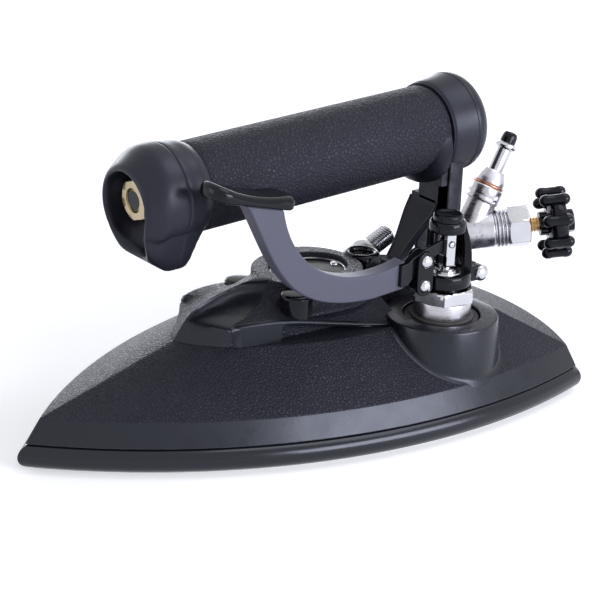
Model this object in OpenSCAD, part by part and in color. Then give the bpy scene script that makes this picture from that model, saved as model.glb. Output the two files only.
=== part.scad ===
/* [Base] */
// Length of the base from nose to heel
base_l = 220; // [217:1:224]
// Width of the base at its widest
base_w = 124; // [122:1:127]
// Radius of the two long side curves
side_r = 210; // [207:1:214]
// Radius of the heel curve
heel_r = 111; // [104:1:120]
// Height of the round bead along the edge of the base
bead_h = 8.7; // [8:0.1:9.2]
// Height of the bead's underside above the ironing surface
bead_lift = 0.8; // [0.6:0.1:1.2]
// How far the sole plate lies inside the bead
sole_inset = 4.5; // [4:0.1:5.5]
// Thickness of the sole plate
sole_t = 6; // [5.6:0.1:6.2]
// Thickness of the gasket between sole plate and casting
gasket_t = 0.8; // [0.6:0.1:1]
// Radius of a steam vent in the sole
vent_r = 1.6; // [1.3:0.1:2]

/* [Cover] */
// Height of the top of the smooth band round the cover
band_z = 17.5; // [16.5:0.1:18.5]
// How far the band's top lies inside the bead
band_inset = 6; // [5.5:0.1:7]
// Height of the flat top of the cover
deck_z = 33; // [32.5:0.1:34]
// Wall thickness of the cover
cover_wall = 3.2; // [2.8:0.1:3.6]
// Nose of the cover's flat top, measured from the middle of the base
deck_nose = -49.5; // [-51:0.5:-48]
// Heel end of the cover's flat top
deck_heel = 68; // [67:0.5:70]
// Half the width of the cover's flat top
deck_half = 32; // [31:0.5:33]

/* [Turret] */
// Height of the turret's rim
turret_z = 49.2; // [48.5:0.1:50]
// Half the width of the turret
turret_half = 18.5; // [18:0.1:19]
// Height of the ledge behind the turret
ledge_z = 41; // [40.5:0.1:42]
// Depth of the nameplate's recess
plate_recess = 2.6; // [2.2:0.1:3]
// Thickness of the nameplate
plate_t = 0.8; // [0.6:0.1:1]
// Distance between flats of the hexagonal centre plug
plug_af = 13; // [12:0.5:14]
// Radius of the round caps beside the turret
cap_r = 5.7; // [5.2:0.1:6]

/* [Steam valve] */
// Valve axis, measured towards the heel
valve_x = 42; // [41.5:0.1:42.5]
// Valve axis, measured towards the side of the lever
valve_y = -34.5; // [-35:0.1:-34]
// Radius of the boss at its top
boss_r = 20; // [19.5:0.1:20.5]
// Height of the boss
boss_z = 36; // [35.5:0.1:36.5]
// Radius of the round skirt of the valve bonnet
skirt_r = 10.2; // [9.8:0.1:10.6]
// Height of the round skirt
skirt_h = 6; // [5.5:0.1:6.5]
// Distance between flats of the bonnet's hexagon
bonnet_af = 20; // [19:0.5:21]
// Height of the bonnet's hexagon
bonnet_h = 4.5; // [4:0.1:5]
// Radius of the clamp collar
collar_r = 9.4; // [9:0.1:9.8]
// Height of the clamp collar
collar_h = 4.8; // [4.4:0.1:5.2]
// Radius of the valve stem
stem_r = 2; // [1.8:0.1:2.2]
// Height of the pin in the stem above the table
pin_z = 62; // [61.5:0.1:62.5]

/* [Lever] */
// Distance from the valve axis forward to the link's rivets
link_x = 12.5; // [12:0.1:13]
// Height of the lower rivet
rivet_low_z = 49.5; // [49.2:0.1:49.8]
// Distance between the two rivets
link_l = 9; // [8.8:0.1:9.4]
// Radius of the rounded ends of the link plates
link_r = 3.6; // [3.4:0.1:3.7]
// Thickness of a link plate
link_t = 1.4; // [1.2:0.1:1.6]
// Radius of a rivet's shank
rivet_r = 1.2; // [1:0.1:1.3]
// Thickness of the lever arm
arm_t = 6; // [5.5:0.1:6.5]
// Thickness of the lever's tongue between the link plates
tongue_t = 3; // [2.8:0.1:3.2]
// Length of the thumb pad
pad_l = 36; // [34:0.5:38]
// Width of the thumb pad
pad_w = 14; // [13:0.5:15]
// Thickness of the thumb pad
pad_t = 5; // [4.8:0.1:5.5]

/* [Handle] */
// Height of the handle's axis above the middle of the base
axis_z = 89.3; // [88.5:0.1:90]
// Rise of the handle towards the heel, in degrees
handle_tilt = 2.75; // [2.25:0.05:3.25]
// Radius of the grip
grip_r = 15.4; // [15:0.1:15.8]
// Front end of the grip along the handle's axis
grip_front = -44.5; // [-45.5:0.5:-43.5]
// Rear end of the grip along the handle's axis
grip_rear = 59.5; // [59:0.1:59.8]
// Outer radius of the tube inside the grip
tube_r = 9; // [8.5:0.1:9.5]
// Wall of the tube inside the grip
tube_wall = 1.5; // [1.2:0.1:2]
// Front end of the bumper
bumper_front = -69.5; // [-70:0.5:-69]
// Outer radius of the bumper
bumper_r = 17.7; // [17.4:0.1:18]
// Depth of the recess in the bumper's front
recess_d = 11.5; // [11:0.1:11.5]
// Radius of the recess in the bumper's front
recess_r = 12; // [11.5:0.1:12.4]
// Largest radius of the rear cap
cap_end_r = 18; // [17.6:0.1:18.5]
// Radius of the rod through the handle
rod_r = 4; // [3.6:0.1:4.4]
// Distance between flats of the nuts on the rod
rod_nut_af = 13; // [12.5:0.5:14]

/* [Rear fittings] */
// Middle of the steam fitting, measured towards the heel
fit_x = 84.7; // [84.5:0.1:86]
// Height of the steam fitting's axis
fit_z = 47.5; // [47:0.1:48]
// Swing of the hand valve towards the side of the lever, in degrees
fit_yaw = 33.6; // [32:0.2:35]
// Rise of the hand valve, in degrees
fit_rise = 7.4; // [6:0.2:9]
// Radius of the fitting's body
fit_r = 6.8; // [6.5:0.1:7.2]
// Rise of the hose branch, in degrees
hose_rise = 62; // [60:0.5:64]
// Radius of the hose nipple's tube
hose_r = 2.9; // [2.7:0.1:3.2]
// Radius of the ring near the tip of the hose nipple
ring_r = 4.25; // [4:0.05:4.5]
// Distance between flats of the gland nut
gland_af = 14; // [13.5:0.5:14.5]
// Outer radius of the handwheel
wheel_r = 13.5; // [13:0.1:14]
// Number of lobes on the handwheel
wheel_lobes = 8; // [6:1:9]
// Length of a lobe along the wheel's axis
lobe_l = 10.5; // [9.5:0.5:11]
// Radius of the threaded drain nipple
drain_r = 3.9; // [3.6:0.1:4.2]
// Length of the drain nipple's threaded end
drain_l = 9; // [8:0.5:9.5]

/* [Hidden] */
$fn = 64;

// Fits
gap = 0.1;
run = 0.08;
soft_gap = 0.3;
over = 1;

// Base
nose_x = -base_l / 2;
heel_x = base_l / 2;
side_off = side_r - base_w / 2;
side_cx = nose_x + sqrt(side_r * side_r - side_off * side_off);
heel_cx = heel_x - heel_r;
casting_z = sole_t + gasket_t;
shell_z = bead_lift + bead_h;
shell_inset = 2;
web_z = 14;
web_inset = 14;
web_nose = -80;
web_heel = 88;
web_t = 2.6;
dome_z = 26;
dome_inset = 38;
dome_t = 4;
column_r = 13.4;
post_r = 4.6;
post_z = deck_z - cover_wall - 0.3;
seat_z = 18;
seat_t = 2;
seat_r = 7;
port_r = 3.4;
shank_r = 9;
shank_z = 27;
bonnet_gasket_t = 0.7;
column_z = boss_z - bonnet_gasket_t;
screw_spots = [[-62, 0], [-20, 30], [-20, -30], [20, 38], [20, -38], [72, 36], [72, -36]];
screw_r = 2;
screw_head_r = 3.8;
screw_head_h = 3.2;
screw_tip_z = 2.6;
vent_rows = 9;
vent_x0 = -94;
vent_step = 7;

// Turret and what stands on the cover
cap_x = -9;
cap_y = 16;
cap_z = 48;
far_cap_z = 43;
cap_base_z = 42.6;
plug_x = 33;
plug_top = 50;
plug_r = 5;
plug_column_r = 8.5;
plug_washer_t = 0.8;
plate_x = 8.5;
plate_rx = 15;
plate_ry = 12;
bolt_x = 64.8;
bolt_y = 9;
bolt_r = 2.2;
bolt_head_r = 3.8;
bolt_head_h = 3.4;
inlet_x = 76;
inlet_y = (fit_x - inlet_x) * tan(fit_yaw);
inlet_r = 7.6;
inlet_z = 36;
drain_x = 47;
drain_y = 16;
drain_z = 41;
drain_rise = 24.8;
drain_column_r = 7;
drain_column_z = 35;
drain_ball_r = 5.6;
drain_bore_r = 2.2;
ledge_x0 = 20;
ledge_half = 13.5;

// Steam valve
skirt_z = boss_z;
hex_z = skirt_z + skirt_h;
neck_z = hex_z + bonnet_h;
collar_z = neck_z + 0.7;
collar_top = collar_z + collar_h;
neck_r = 6;
gland_r = 3.9;
gland_z = 44;
packing_top = 50.5;
stem_block_x = 4.2;
stem_block_y = 5.4;
stem_block_z = 54;
stem_top = 66.2;
fork_w = 1.8;
pin_r = 0.9;
guide_r = 1.8;
guide_top = 68.5;
disc_r = 6;
disc_t = 2.9;
disc_z = seat_z + 0.05;
spring_r = 5;
spring_wire = 0.55;
spring_turns = 4.5;
spring_z0 = disc_z + disc_t + spring_wire;
spring_z1 = shank_z - spring_wire;
arch_z = 66.5;
arch_h = 4;
arch_r = 6.5;
arch_cap_r = 5.3;
arch_cap_h = 2.5;
leg_x = 47.8;
leg_t = 3.4;
leg_w = 9;
far_leg_w = 1.8;

// Lever and links
pivot_x = valve_x - link_x;
rivet_high_z = rivet_low_z + link_l;
tongue_y = valve_y - 1;
plate_gap = 0.3;
link_near_y = tongue_y - tongue_t / 2 - plate_gap - link_t;
link_far_y = tongue_y + tongue_t / 2 + plate_gap;
rivet_head_r = 2.4;
rivet_head_h = 1.6;
arm_y = -32.5;
blade_t = 1.2;
blade_y = valve_y - 0.1;
blade_r = 2.2;
arm_end_x = pivot_x - 6.8;
pad_x = -31;
pad_z = 87;
pad_pitch = 14.8;
pad_front = 31.5;

// Handle
nut_front = -66;
nut_t = 6.5;
washer_t = 1.5;
washer_r = 9;
nut_room_r = 9;
rod_front = -65.6;
rod_rear = 76;
bracket_s0 = 60;
bracket_s1 = 68;
bracket_disc_r = 14;
rear_x0 = 61.5;
rear_x1 = 68;
rear_half = 13;
leg_top = axis_z - 4;
far_front_y = 3;
far_rear_y = 10;
strut_top_x = 61.5;
strut_top_z = 64;
strut_top_half = 7;
strut_low_x = 48.5;
strut_low_half = 3.2;
cup_s0 = 50;
cup_drop = 4;
flange_x0 = 60.5;
flange_l = 11;
flange_t = 3.6;
foot_x0 = 45;
foot_l = 9;
foot_w = 9;
foot_t = 2.6;
chin_half = 9;
chin_r = 2.5;
chin_drop = 22.4;
chin_s0 = -57;
chin_s1 = -52.5;
lip_s = -66;
lip_drop = 9;
lip_r = 9;
cap_round_s = 71;
cap_end_s = 81.3;
cap_cavity_r = 14.4;

// Rear fittings, distances along the hand valve's axis from the middle of the fitting
body_s0 = -15.5;
body_s1 = 10.5;
ring_s1 = 15;
gland_s1 = 23.2;
stem_s1 = 37.2;
wheel_s0 = 27.2;
lobe_s0 = 27.6;
needle_r = 2.8;
needle_bore_r = 3.6;
needle_tip_s = -2.6;
seat_s = -6;
lobe_r = 2.2;
hub_r = 7;
wheel_nut_af = 8;
wheel_nut_t = 3;
branch_s1 = 12.4;
branch_nut_l = 6.4;
branch_r = 6;
branch_bore_r = 2.2;
collar_l = 5.5;
nipple_l = 15.5;

// Points of a circle's arc from angle a0 to a1 about a centre
function arc(cx, cy, r, a0, a1, n = 12) =
    [for (i = [0:n]) [cx + r * cos(a0 + (a1 - a0) * i / n), cy + r * sin(a0 + (a1 - a0) * i / n)]];

// A point of a cubic curve with four control points
function cubic(p, t) =
    p[0] * pow(1 - t, 3) + p[1] * 3 * t * pow(1 - t, 2) + p[2] * 3 * t * t * (1 - t) + p[3] * pow(t, 3);
function curve(p, n = 12) = [for (i = [0:n]) cubic(p, i / n)];

// Half of the base's outline at an inset, from the nose to the heel on the axis
side_steps = 22;
heel_steps = 6;
function nose_at(d) = side_cx - sqrt(pow(side_r - d, 2) - side_off * side_off);
function half_at(d, x) = sqrt(pow(side_r - d, 2) - pow(x - side_cx, 2)) - side_off;
// Where the side curve meets the heel curve, found by halving the interval
function corner_x(d, lo, hi, k = 24) =
    k == 0 ? (lo + hi) / 2 :
    let (m = (lo + hi) / 2, out = pow(m - heel_cx, 2) + pow(half_at(d, m), 2) > pow(heel_r - d, 2))
    out ? corner_x(d, lo, m, k - 1) : corner_x(d, m, hi, k - 1);
function half_ring(d, z) =
    let (x0 = nose_at(d), x1 = corner_x(d, 0, heel_x - d - over), y1 = half_at(d, x1),
         a1 = atan2(y1, x1 - heel_cx))
    concat([for (i = [0:side_steps])
                let (x = x0 + (x1 - x0) * pow(i / side_steps, 1.3)) [x, i == 0 ? 0 : half_at(d, x), z]],
           [for (i = [1:heel_steps])
                let (a = a1 * (1 - i / heel_steps))
                [heel_cx + (heel_r - d) * cos(a), (heel_r - d) * sin(a), z]]);

// Half of the outline of the cover's flat top, drawn in by d
top_peak_x = 30;
top_corner_y = 35;
function top_half(x) =
    x < top_peak_x
    ? deck_half * pow(max(0, 1 - pow((x - top_peak_x) / (deck_nose - top_peak_x), 2)), 0.7)
    : deck_half + (top_corner_y - deck_half) * pow((x - top_peak_x) / (deck_heel - top_peak_x), 2);
function top_ring(d, z) =
    concat([for (i = [0:side_steps])
                let (x = deck_nose + (deck_heel - 2 - deck_nose) * pow(i / side_steps, 1.3),
                     y = top_half(x), k = i / side_steps)
                [x + (i == 0 ? 1.6 * d : 1.2 * d * (1 - 2 * k) ), max(0, y - d * min(1, 3 * k)), z]],
           [for (i = [1:heel_steps])
                let (k = i / heel_steps)
                [deck_heel - 2 + 2 * sin(90 * k) - d, (top_corner_y - d) * (1 - k), z]]);

// The whole ring from its half: back along the other side without the two points on the axis
function whole(half) =
    concat(half, [for (i = [len(half) - 2:-1:1]) [half[i][0], -half[i][1], half[i][2]]]);

// A closed solid through rings with the same number of points, lowest first
module loft(rings) {
    n = len(rings[0]);
    m = len(rings);
    points = [for (r = rings) for (p = r) p];
    sides = [for (k = [0:m - 2]) for (i = [0:n - 1])
             let (j = (i + 1) % n, a = k * n + i, b = k * n + j, c = a + n, d = b + n)
             each [[a, b, c], [b, d, c]]];
    low = [for (i = [1:n - 2]) [0, i + 1, i]];
    high = [for (i = [1:n - 2]) [(m - 1) * n, (m - 1) * n + i, (m - 1) * n + i + 1]];
    polyhedron(points, concat(sides, low, high));
}

// The base's outline as an upright solid with exact curves
module base_prism(d, z0, z1) {
    translate([0, 0, z0])
        intersection() {
            translate([side_cx, side_off, 0]) cylinder(r = side_r - d, h = z1 - z0);
            translate([side_cx, -side_off, 0]) cylinder(r = side_r - d, h = z1 - z0);
            translate([heel_cx, 0, 0]) cylinder(r = heel_r - d, h = z1 - z0);
        }
}

// A disc with a full round rim
module round_disc(r, h) {
    rotate_extrude()
        union() {
            square([r - h / 2, h]);
            translate([r - h / 2, h / 2]) circle(r = h / 2);
        }
}

module bead_body() {
    translate([0, 0, bead_lift])
        intersection() {
            translate([side_cx, side_off, 0]) round_disc(side_r, bead_h);
            translate([side_cx, -side_off, 0]) round_disc(side_r, bead_h);
            translate([heel_cx, 0, 0]) round_disc(heel_r, bead_h);
        }
}

module at_valve(z = 0) {
    translate([valve_x, valve_y, z]) children();
}

module tube(r_out, r_in, h) {
    difference() {
        cylinder(r = r_out, h = h);
        translate([0, 0, -over]) cylinder(r = r_in, h = h + 2 * over);
    }
}

module hexagon(af, h) {
    cylinder(r = af / 2 / cos(30), h = h, $fn = 6);
}

// A screw pointing down with its head's seat at z = 0
module screw(r, l, head_r, head_h) {
    translate([0, 0, -l]) cylinder(r = r, h = l + over / 2);
    difference() {
        cylinder(r = head_r, h = head_h);
        translate([0, 0, head_h / 2]) hexagon(head_r, head_h);
    }
}

module vents() {
    for (i = [0:vent_rows - 1])
        let (x = vent_x0 + i * vent_step, half = half_at(sole_inset + 14, x))
        if (i == 0 || i % 2 == 1) {
            translate([x + (i == 0 ? 6 : 0), 0, -over])
                cylinder(r = vent_r, h = sole_t + 2 * over, $fn = 24);
        } else {
            for (s = [-1, 1])
                translate([x, s * half * 0.55, -over])
                    cylinder(r = vent_r, h = sole_t + 2 * over, $fn = 24);
        }
}

module sole_plate() {
    color("silver")
        difference() {
            base_prism(sole_inset, 0, sole_t);
            vents();
            for (p = screw_spots)
                translate([p[0], p[1], screw_tip_z - 0.4]) cylinder(r = screw_r + gap, h = sole_t);
        }
}

module sole_gasket() {
    color("dimgray")
        difference() {
            base_prism(sole_inset + 1, sole_t, casting_z);
            base_prism(sole_inset + 8, sole_t - over, casting_z + over);
        }
}

module casting_columns(extra = 0) {
    at_valve(casting_z) cylinder(r = column_r + extra, h = column_z - casting_z);
    translate([plug_x, 0, casting_z]) cylinder(r = plug_column_r + extra, h = ledge_z - casting_z - over);
    translate([inlet_x, inlet_y, casting_z]) cylinder(r = inlet_r + extra, h = inlet_z - casting_z);
    translate([drain_x, drain_y, casting_z])
        cylinder(r = drain_column_r + extra, h = drain_column_z - casting_z);
    for (s = [-1, 1]) {
        translate([cap_x, s * cap_y, casting_z]) cylinder(r = post_r + extra, h = post_z - casting_z);
        translate([bolt_x, s * bolt_y, casting_z]) cylinder(r = post_r + extra, h = post_z - casting_z);
    }
    for (p = screw_spots)
        translate([p[0], p[1], casting_z]) cylinder(r = post_r, h = web_z - casting_z);
}

module web_body(d, top) {
    intersection() {
        base_prism(web_inset + d, casting_z - 0.01, top);
        translate([web_nose + d, -base_w, 0]) cube([web_heel - web_nose - 2 * d, 2 * base_w, base_l]);
    }
}

module base_casting() {
    color("#24252b")
        difference() {
            union() {
                bead_body();
                web_body(0, web_z);
                base_prism(dome_inset, casting_z, dome_z);
                casting_columns();
            }
            base_prism(sole_inset - soft_gap, -over, casting_z);
            difference() {
                union() {
                    web_body(6, web_z - web_t);
                    base_prism(dome_inset + dome_t, casting_z - over, dome_z - web_t);
                }
                casting_columns();
            }
            at_valve(seat_z - seat_t) cylinder(r = seat_r, h = seat_t + over);
            at_valve(seat_z) cylinder(r = shank_r + gap, h = boss_z);
            at_valve(casting_z - over) cylinder(r = port_r, h = seat_z);
            at_valve(seat_z + 3) rotate([-90, 0, 0]) cylinder(r = 2.5, h = 22);
            translate([plug_x, 0, casting_z - over]) cylinder(r = plug_r + gap, h = ledge_z);
            translate([inlet_x, inlet_y, casting_z - over]) cylinder(r = needle_bore_r, h = inlet_z);
            translate([drain_x, drain_y, casting_z - over]) cylinder(r = drain_bore_r, h = drain_z);
            for (s = [-1, 1]) {
                translate([cap_x, s * cap_y, dome_z - 10]) cylinder(r = screw_r + gap, h = 20);
                translate([bolt_x, s * bolt_y, dome_z - 10]) cylinder(r = bolt_r + gap, h = 20);
            }
            for (p = screw_spots)
                translate([p[0], p[1], 0]) cylinder(r = screw_r + gap, h = web_z + over);
        }
}

module sole_screws() {
    color("silver")
        for (p = screw_spots)
            translate([p[0], p[1], web_z])
                screw(screw_r, web_z - screw_tip_z, screw_head_r, screw_head_h);
}

module cover() {
    color("#2b2c35")
        difference() {
            union() {
                loft([whole(half_ring(shell_inset, shell_z)), whole(half_ring(band_inset, band_z)),
                      whole(top_ring(0, deck_z))]);
                at_valve(band_z - 2) cylinder(r1 = boss_r + 1.5, r2 = boss_r, h = boss_z - band_z + 2);
            }
            loft([whole(half_ring(shell_inset + cover_wall, shell_z - over / 2)),
                  whole(half_ring(band_inset + cover_wall, band_z - 1)),
                  whole(top_ring(cover_wall, deck_z - cover_wall))]);
            at_valve(shell_z - over)
                cylinder(r = boss_r - cover_wall, h = boss_z - cover_wall - shell_z + over);
            at_valve(shell_z) cylinder(r = column_r + soft_gap, h = boss_z);
            translate([plug_x, 0, shell_z]) cylinder(r = plug_column_r + soft_gap, h = boss_z);
            translate([inlet_x, inlet_y, shell_z]) cylinder(r = inlet_r + soft_gap, h = boss_z);
            translate([drain_x, drain_y, shell_z]) cylinder(r = drain_column_r + soft_gap, h = boss_z);
            for (s = [-1, 1]) {
                translate([cap_x, s * cap_y, shell_z]) cylinder(r = screw_r + soft_gap, h = boss_z);
                translate([bolt_x, s * bolt_y, shell_z]) {
                    cylinder(r = bolt_r + soft_gap, h = boss_z);
                    cylinder(r = post_r + soft_gap, h = post_z + soft_gap - shell_z);
                }
            }
        }
}

// Levels of the prow: height, ridge and corner, from the deck up to the rim
prow_levels = [deck_z, deck_z + 3, deck_z + 6, 41.3, 43, 45.5, 48, turret_z];
ridge_xs = [-49, -46.8, -44.6, -42.5, -39.5, -33.5, -22, -12.4];
corner_xs = [-36, -36, -36, -26, -20, -15.5, -13.2, -11.6];
corner_ys = [15, 15, 14.8, 11.5, 9, 6, 4.5, 4.2];
bulges = [2.2, 1, -1, -2.2, -3, -3.2, -1.2, 0.3];
rim_rear_x = 28;
cove_steps = 7;
rim_steps = 12;

// Half of one level of the prow and turret: cove, corner, round side and rear
function prow_half(k) =
    let (z = prow_levels[k], a = [ridge_xs[k], 0], c = [corner_xs[k], corner_ys[k]],
         mid = (a + c) / 2, dir = (c - a) / norm(c - a), ctrl = mid + [-dir[1], dir[0]] * bulges[k],
         cx = 11, rx = rim_rear_x - cx, start = c[0], flare = 0.6 * (len(prow_levels) - 1 - k) / 7)
    concat([for (i = [0:cove_steps]) let (t = i / cove_steps)
                concat(a * pow(1 - t, 2) + ctrl * 2 * t * (1 - t) + c * t * t, z)],
           [for (i = [1:rim_steps]) let (t = i / rim_steps, x = start + (cx - start) * t)
                [x, max(c[1] + (turret_half + flare - c[1]) * sin(90 * t),
                        (turret_half + flare) * sqrt(max(0, 1 - pow((cx - x) / 24, 2)))), z]],
           [for (i = [1:rim_steps]) let (a2 = 90 * (1 - i / rim_steps))
                [cx + (rx + flare) * cos(a2), (turret_half + flare) * sin(a2), z]]);

// Stations of the side deck: place, edge half-width and height, inner half-width and height, underside
deck_stations = [[-35, 14.3, 38.6, 12, 38.2, 33], [-33.2, 17, 40.6, 11, 39.6, 33],
                 [-27, 19.3, 41.2, 8, 40.9, 33], [-18, 21, 40.8, 8, 42.3, 33],
                 [-17.4, 21.1, 40.7, 8, 42.3, 38.9], [-12, 22.2, 40, 10, 42.2, 38.3],
                 [-4, 23.7, 38.6, 12, 41.9, 37], [4, 25, 37, 14, 41.6, 35.5],
                 [12, 26.8, 35.6, 15, 41.3, 34.2], [19, 28.6, 34.6, 15, 41.2, 33.4],
                 [28, 30.6, 33.8, 13, 41.1, 32.9]];

module side_deck(s) {
    sections = [for (p = deck_stations)
                [[p[0], p[1], p[5]], [p[0], p[3], min(p[5], p[4] - 2)],
                 [p[0], p[3], p[4]], [p[0], p[1], p[2]]]];
    mirror([0, s < 0 ? 1 : 0, 0]) loft(sections);
}

// Upright solid with the outline of the nameplate
module plate_oval(grow, h) {
    linear_extrude(h)
        polygon([for (a = [0:10:350])
                 [plate_x + (plate_rx + grow) * cos(a), (plate_ry + grow) * sin(a)]]);
}

// The ledge behind the turret, rounded at the rear where it ends short of the bracket
module ledge(z0, z1, d = 0) {
    end_x = flange_x0 - 0.5 - ledge_half;
    translate([0, 0, z0]) linear_extrude(z1 - z0) union() {
        translate([ledge_x0, -ledge_half + d]) square([end_x - ledge_x0, 2 * (ledge_half - d)]);
        translate([end_x, 0]) circle(r = ledge_half - d);
    }
}

module turret_cover() {
    color("#2b2c35")
        difference() {
            union() {
                loft([for (k = [0:len(prow_levels) - 1]) whole(prow_half(k))]);
                side_deck(1);
                side_deck(-1);
                ledge(deck_z, ledge_z);
            }
            translate([0, 0, turret_z - plate_recess]) plate_oval(0, 2 * plate_recess);
            for (x = [-4, 10, 20])
                translate([x, 0, deck_z - over]) cylinder(r = x < 0 ? 9.5 : 11, h = 11);
            ledge(deck_z - over, ledge_z - 4, 4);
            at_valve(deck_z - over) cylinder(r = boss_r + soft_gap, h = 20);
            translate([plug_x, 0, deck_z - over]) cylinder(r = plug_column_r + soft_gap, h = 20);
            translate([drain_x, drain_y, deck_z - over]) cylinder(r = drain_column_r + 1, h = 20);
            for (s = [-1, 1])
                translate([cap_x, s * cap_y, 0]) {
                    translate([0, 0, deck_z - over]) cylinder(r = screw_r + soft_gap, h = 20);
                    translate([0, 0, cap_base_z - 3.4]) cylinder(r = cap_r + gap, h = 20);
                }
        }
}

module nameplate() {
    color("#17181c")
        difference() {
            translate([0, 0, turret_z - plate_recess]) plate_oval(-gap, plate_t);
            for (s = [-1, 1])
                translate([plate_x + s * (plate_rx - 3), 0, 0]) cylinder(r = 1, h = 2 * turret_z);
        }
}

module nameplate_screws() {
    color("silver")
        for (s = [-1, 1])
            translate([plate_x + s * (plate_rx - 3), 0, turret_z - plate_recess + plate_t]) {
                cylinder(r = 1.7, h = 0.8);
                translate([0, 0, -plate_t]) cylinder(r = 0.95, h = plate_t + 0.2);
            }
}

module centre_plug() {
    z = ledge_z - over + plug_washer_t;
    plug_edge = 1.6;
    color("#1c1c20")
        difference() {
            union() {
                translate([plug_x, 0, z]) hexagon(plug_af, plug_top - z - plug_edge);
                translate([plug_x, 0, plug_top - plug_edge])
                    cylinder(r1 = plug_af / 2, r2 = plug_af / 2 - 1, h = plug_edge);
                translate([plug_x, 0, 20]) cylinder(r = plug_r, h = z - 19);
            }
            translate([plug_x, 0, plug_top - 3]) cylinder(r = 4, h = 6);
        }
}

module plug_washer() {
    color("#b87333")
        translate([plug_x, 0, ledge_z - over]) tube(plug_column_r, plug_r + gap, plug_washer_t);
}

module cover_screws() {
    color("silver")
        for (s = [-1, 1])
            translate([cap_x, s * cap_y, cap_base_z - 3.4])
                screw(screw_r, cap_base_z - 3.4 - dome_z + 8, 3.6, 2.6);
}

module screw_caps() {
    base = cap_base_z - 3.4;
    cap_edge = 1.2;
    color("#101115")
        for (s = [-1, 1])
            let (h = (s < 0 ? cap_z : far_cap_z) - base)
            translate([cap_x, s * cap_y, base])
                difference() {
                    union() {
                        cylinder(r = cap_r, h = h - cap_edge);
                        translate([0, 0, h - cap_edge])
                            cylinder(r1 = cap_r, r2 = cap_r - cap_edge, h = cap_edge);
                    }
                    translate([0, 0, -over]) cylinder(r = 3.6 + gap, h = 2.6 + over + gap);
                }
}

module valve_seat() {
    color("goldenrod")
        at_valve(seat_z - seat_t) tube(seat_r - 0.02, port_r, seat_t);
}

module valve_disc() {
    color("silver")
        at_valve(disc_z)
            difference() {
                cylinder(r = disc_r, h = disc_t);
                translate([0, 0, 1]) cylinder(r = stem_r + 0.02, h = disc_t);
            }
}

// A round wire wound up the stem, six sides and eight rings to a turn
module valve_spring() {
    rings = spring_turns * 8;
    color("silver")
        at_valve()
            loft([for (i = [0:rings])
                  let (a = 45 * i, z = spring_z0 + (spring_z1 - spring_z0) * i / rings)
                  [for (j = [0:5]) let (b = 60 * j, r = spring_r + spring_wire * cos(b))
                   [r * cos(a), r * sin(a), z + spring_wire * 0.95 * sin(b)]]]);
}

module bonnet_gasket() {
    color("#b87333")
        at_valve(column_z) tube(skirt_r + 1, shank_r + gap, bonnet_gasket_t);
}

module valve_bonnet() {
    chamfer_r = bonnet_af / 2 - 0.2;
    color("gainsboro")
        difference() {
            union() {
                at_valve(shank_z) cylinder(r = shank_r, h = boss_z - shank_z);
                at_valve(skirt_z) cylinder(r = skirt_r, h = skirt_h);
                at_valve(hex_z)
                    intersection() {
                        rotate([0, 0, 51]) hexagon(bonnet_af, bonnet_h);
                        rotate_extrude()
                            polygon([[0, 0], [chamfer_r + 2.4, 0], [chamfer_r + 2.4, bonnet_h - 1.39],
                                     [chamfer_r, bonnet_h], [0, bonnet_h]]);
                    }
                at_valve(neck_z - 0.01) cylinder(r = neck_r, h = collar_top - neck_z);
            }
            at_valve(0) cylinder(r = stem_r + run, h = 2 * collar_top);
            at_valve(gland_z) cylinder(r = gland_r, h = 2 * gland_z);
        }
}

module valve_packing() {
    color("#4a4a46")
        at_valve(gland_z) tube(gland_r - 0.02, stem_r + run, packing_top - gland_z);
}

module gland_ring() {
    color("gainsboro") {
        at_valve(packing_top)
            difference() {
                union() {
                    cylinder(r = gland_r - 0.05, h = collar_top - packing_top + 0.1);
                    translate([0, 0, collar_top - packing_top]) cylinder(r = 4.6, h = 0.9);
                }
                translate([0, 0, -over]) cylinder(r = stem_r + run, h = 10);
            }
    }
}

module valve_stem() {
    color("gainsboro")
        difference() {
            union() {
                at_valve(disc_z + 1.02) cylinder(r = stem_r, h = stem_block_z - disc_z);
                translate([valve_x - stem_block_x / 2, valve_y - stem_block_y / 2, stem_block_z])
                    cube([stem_block_x, stem_block_y, stem_top - stem_block_z]);
                at_valve(stem_top - 0.01) cylinder(r = guide_r, h = guide_top - stem_top);
            }
            translate([valve_x - stem_block_x, valve_y - fork_w / 2, pin_z - 4])
                cube([2 * stem_block_x, fork_w, 7.2]);
            translate([valve_x, valve_y, pin_z]) rotate([90, 0, 0])
                cylinder(r = pin_r + 0.02, h = 2 * stem_block_y, center = true);
        }
}

module stem_pin() {
    color("gainsboro")
        translate([valve_x, valve_y, pin_z]) rotate([90, 0, 0])
            cylinder(r = pin_r, h = stem_block_y + 0.4, center = true);
}

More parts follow.
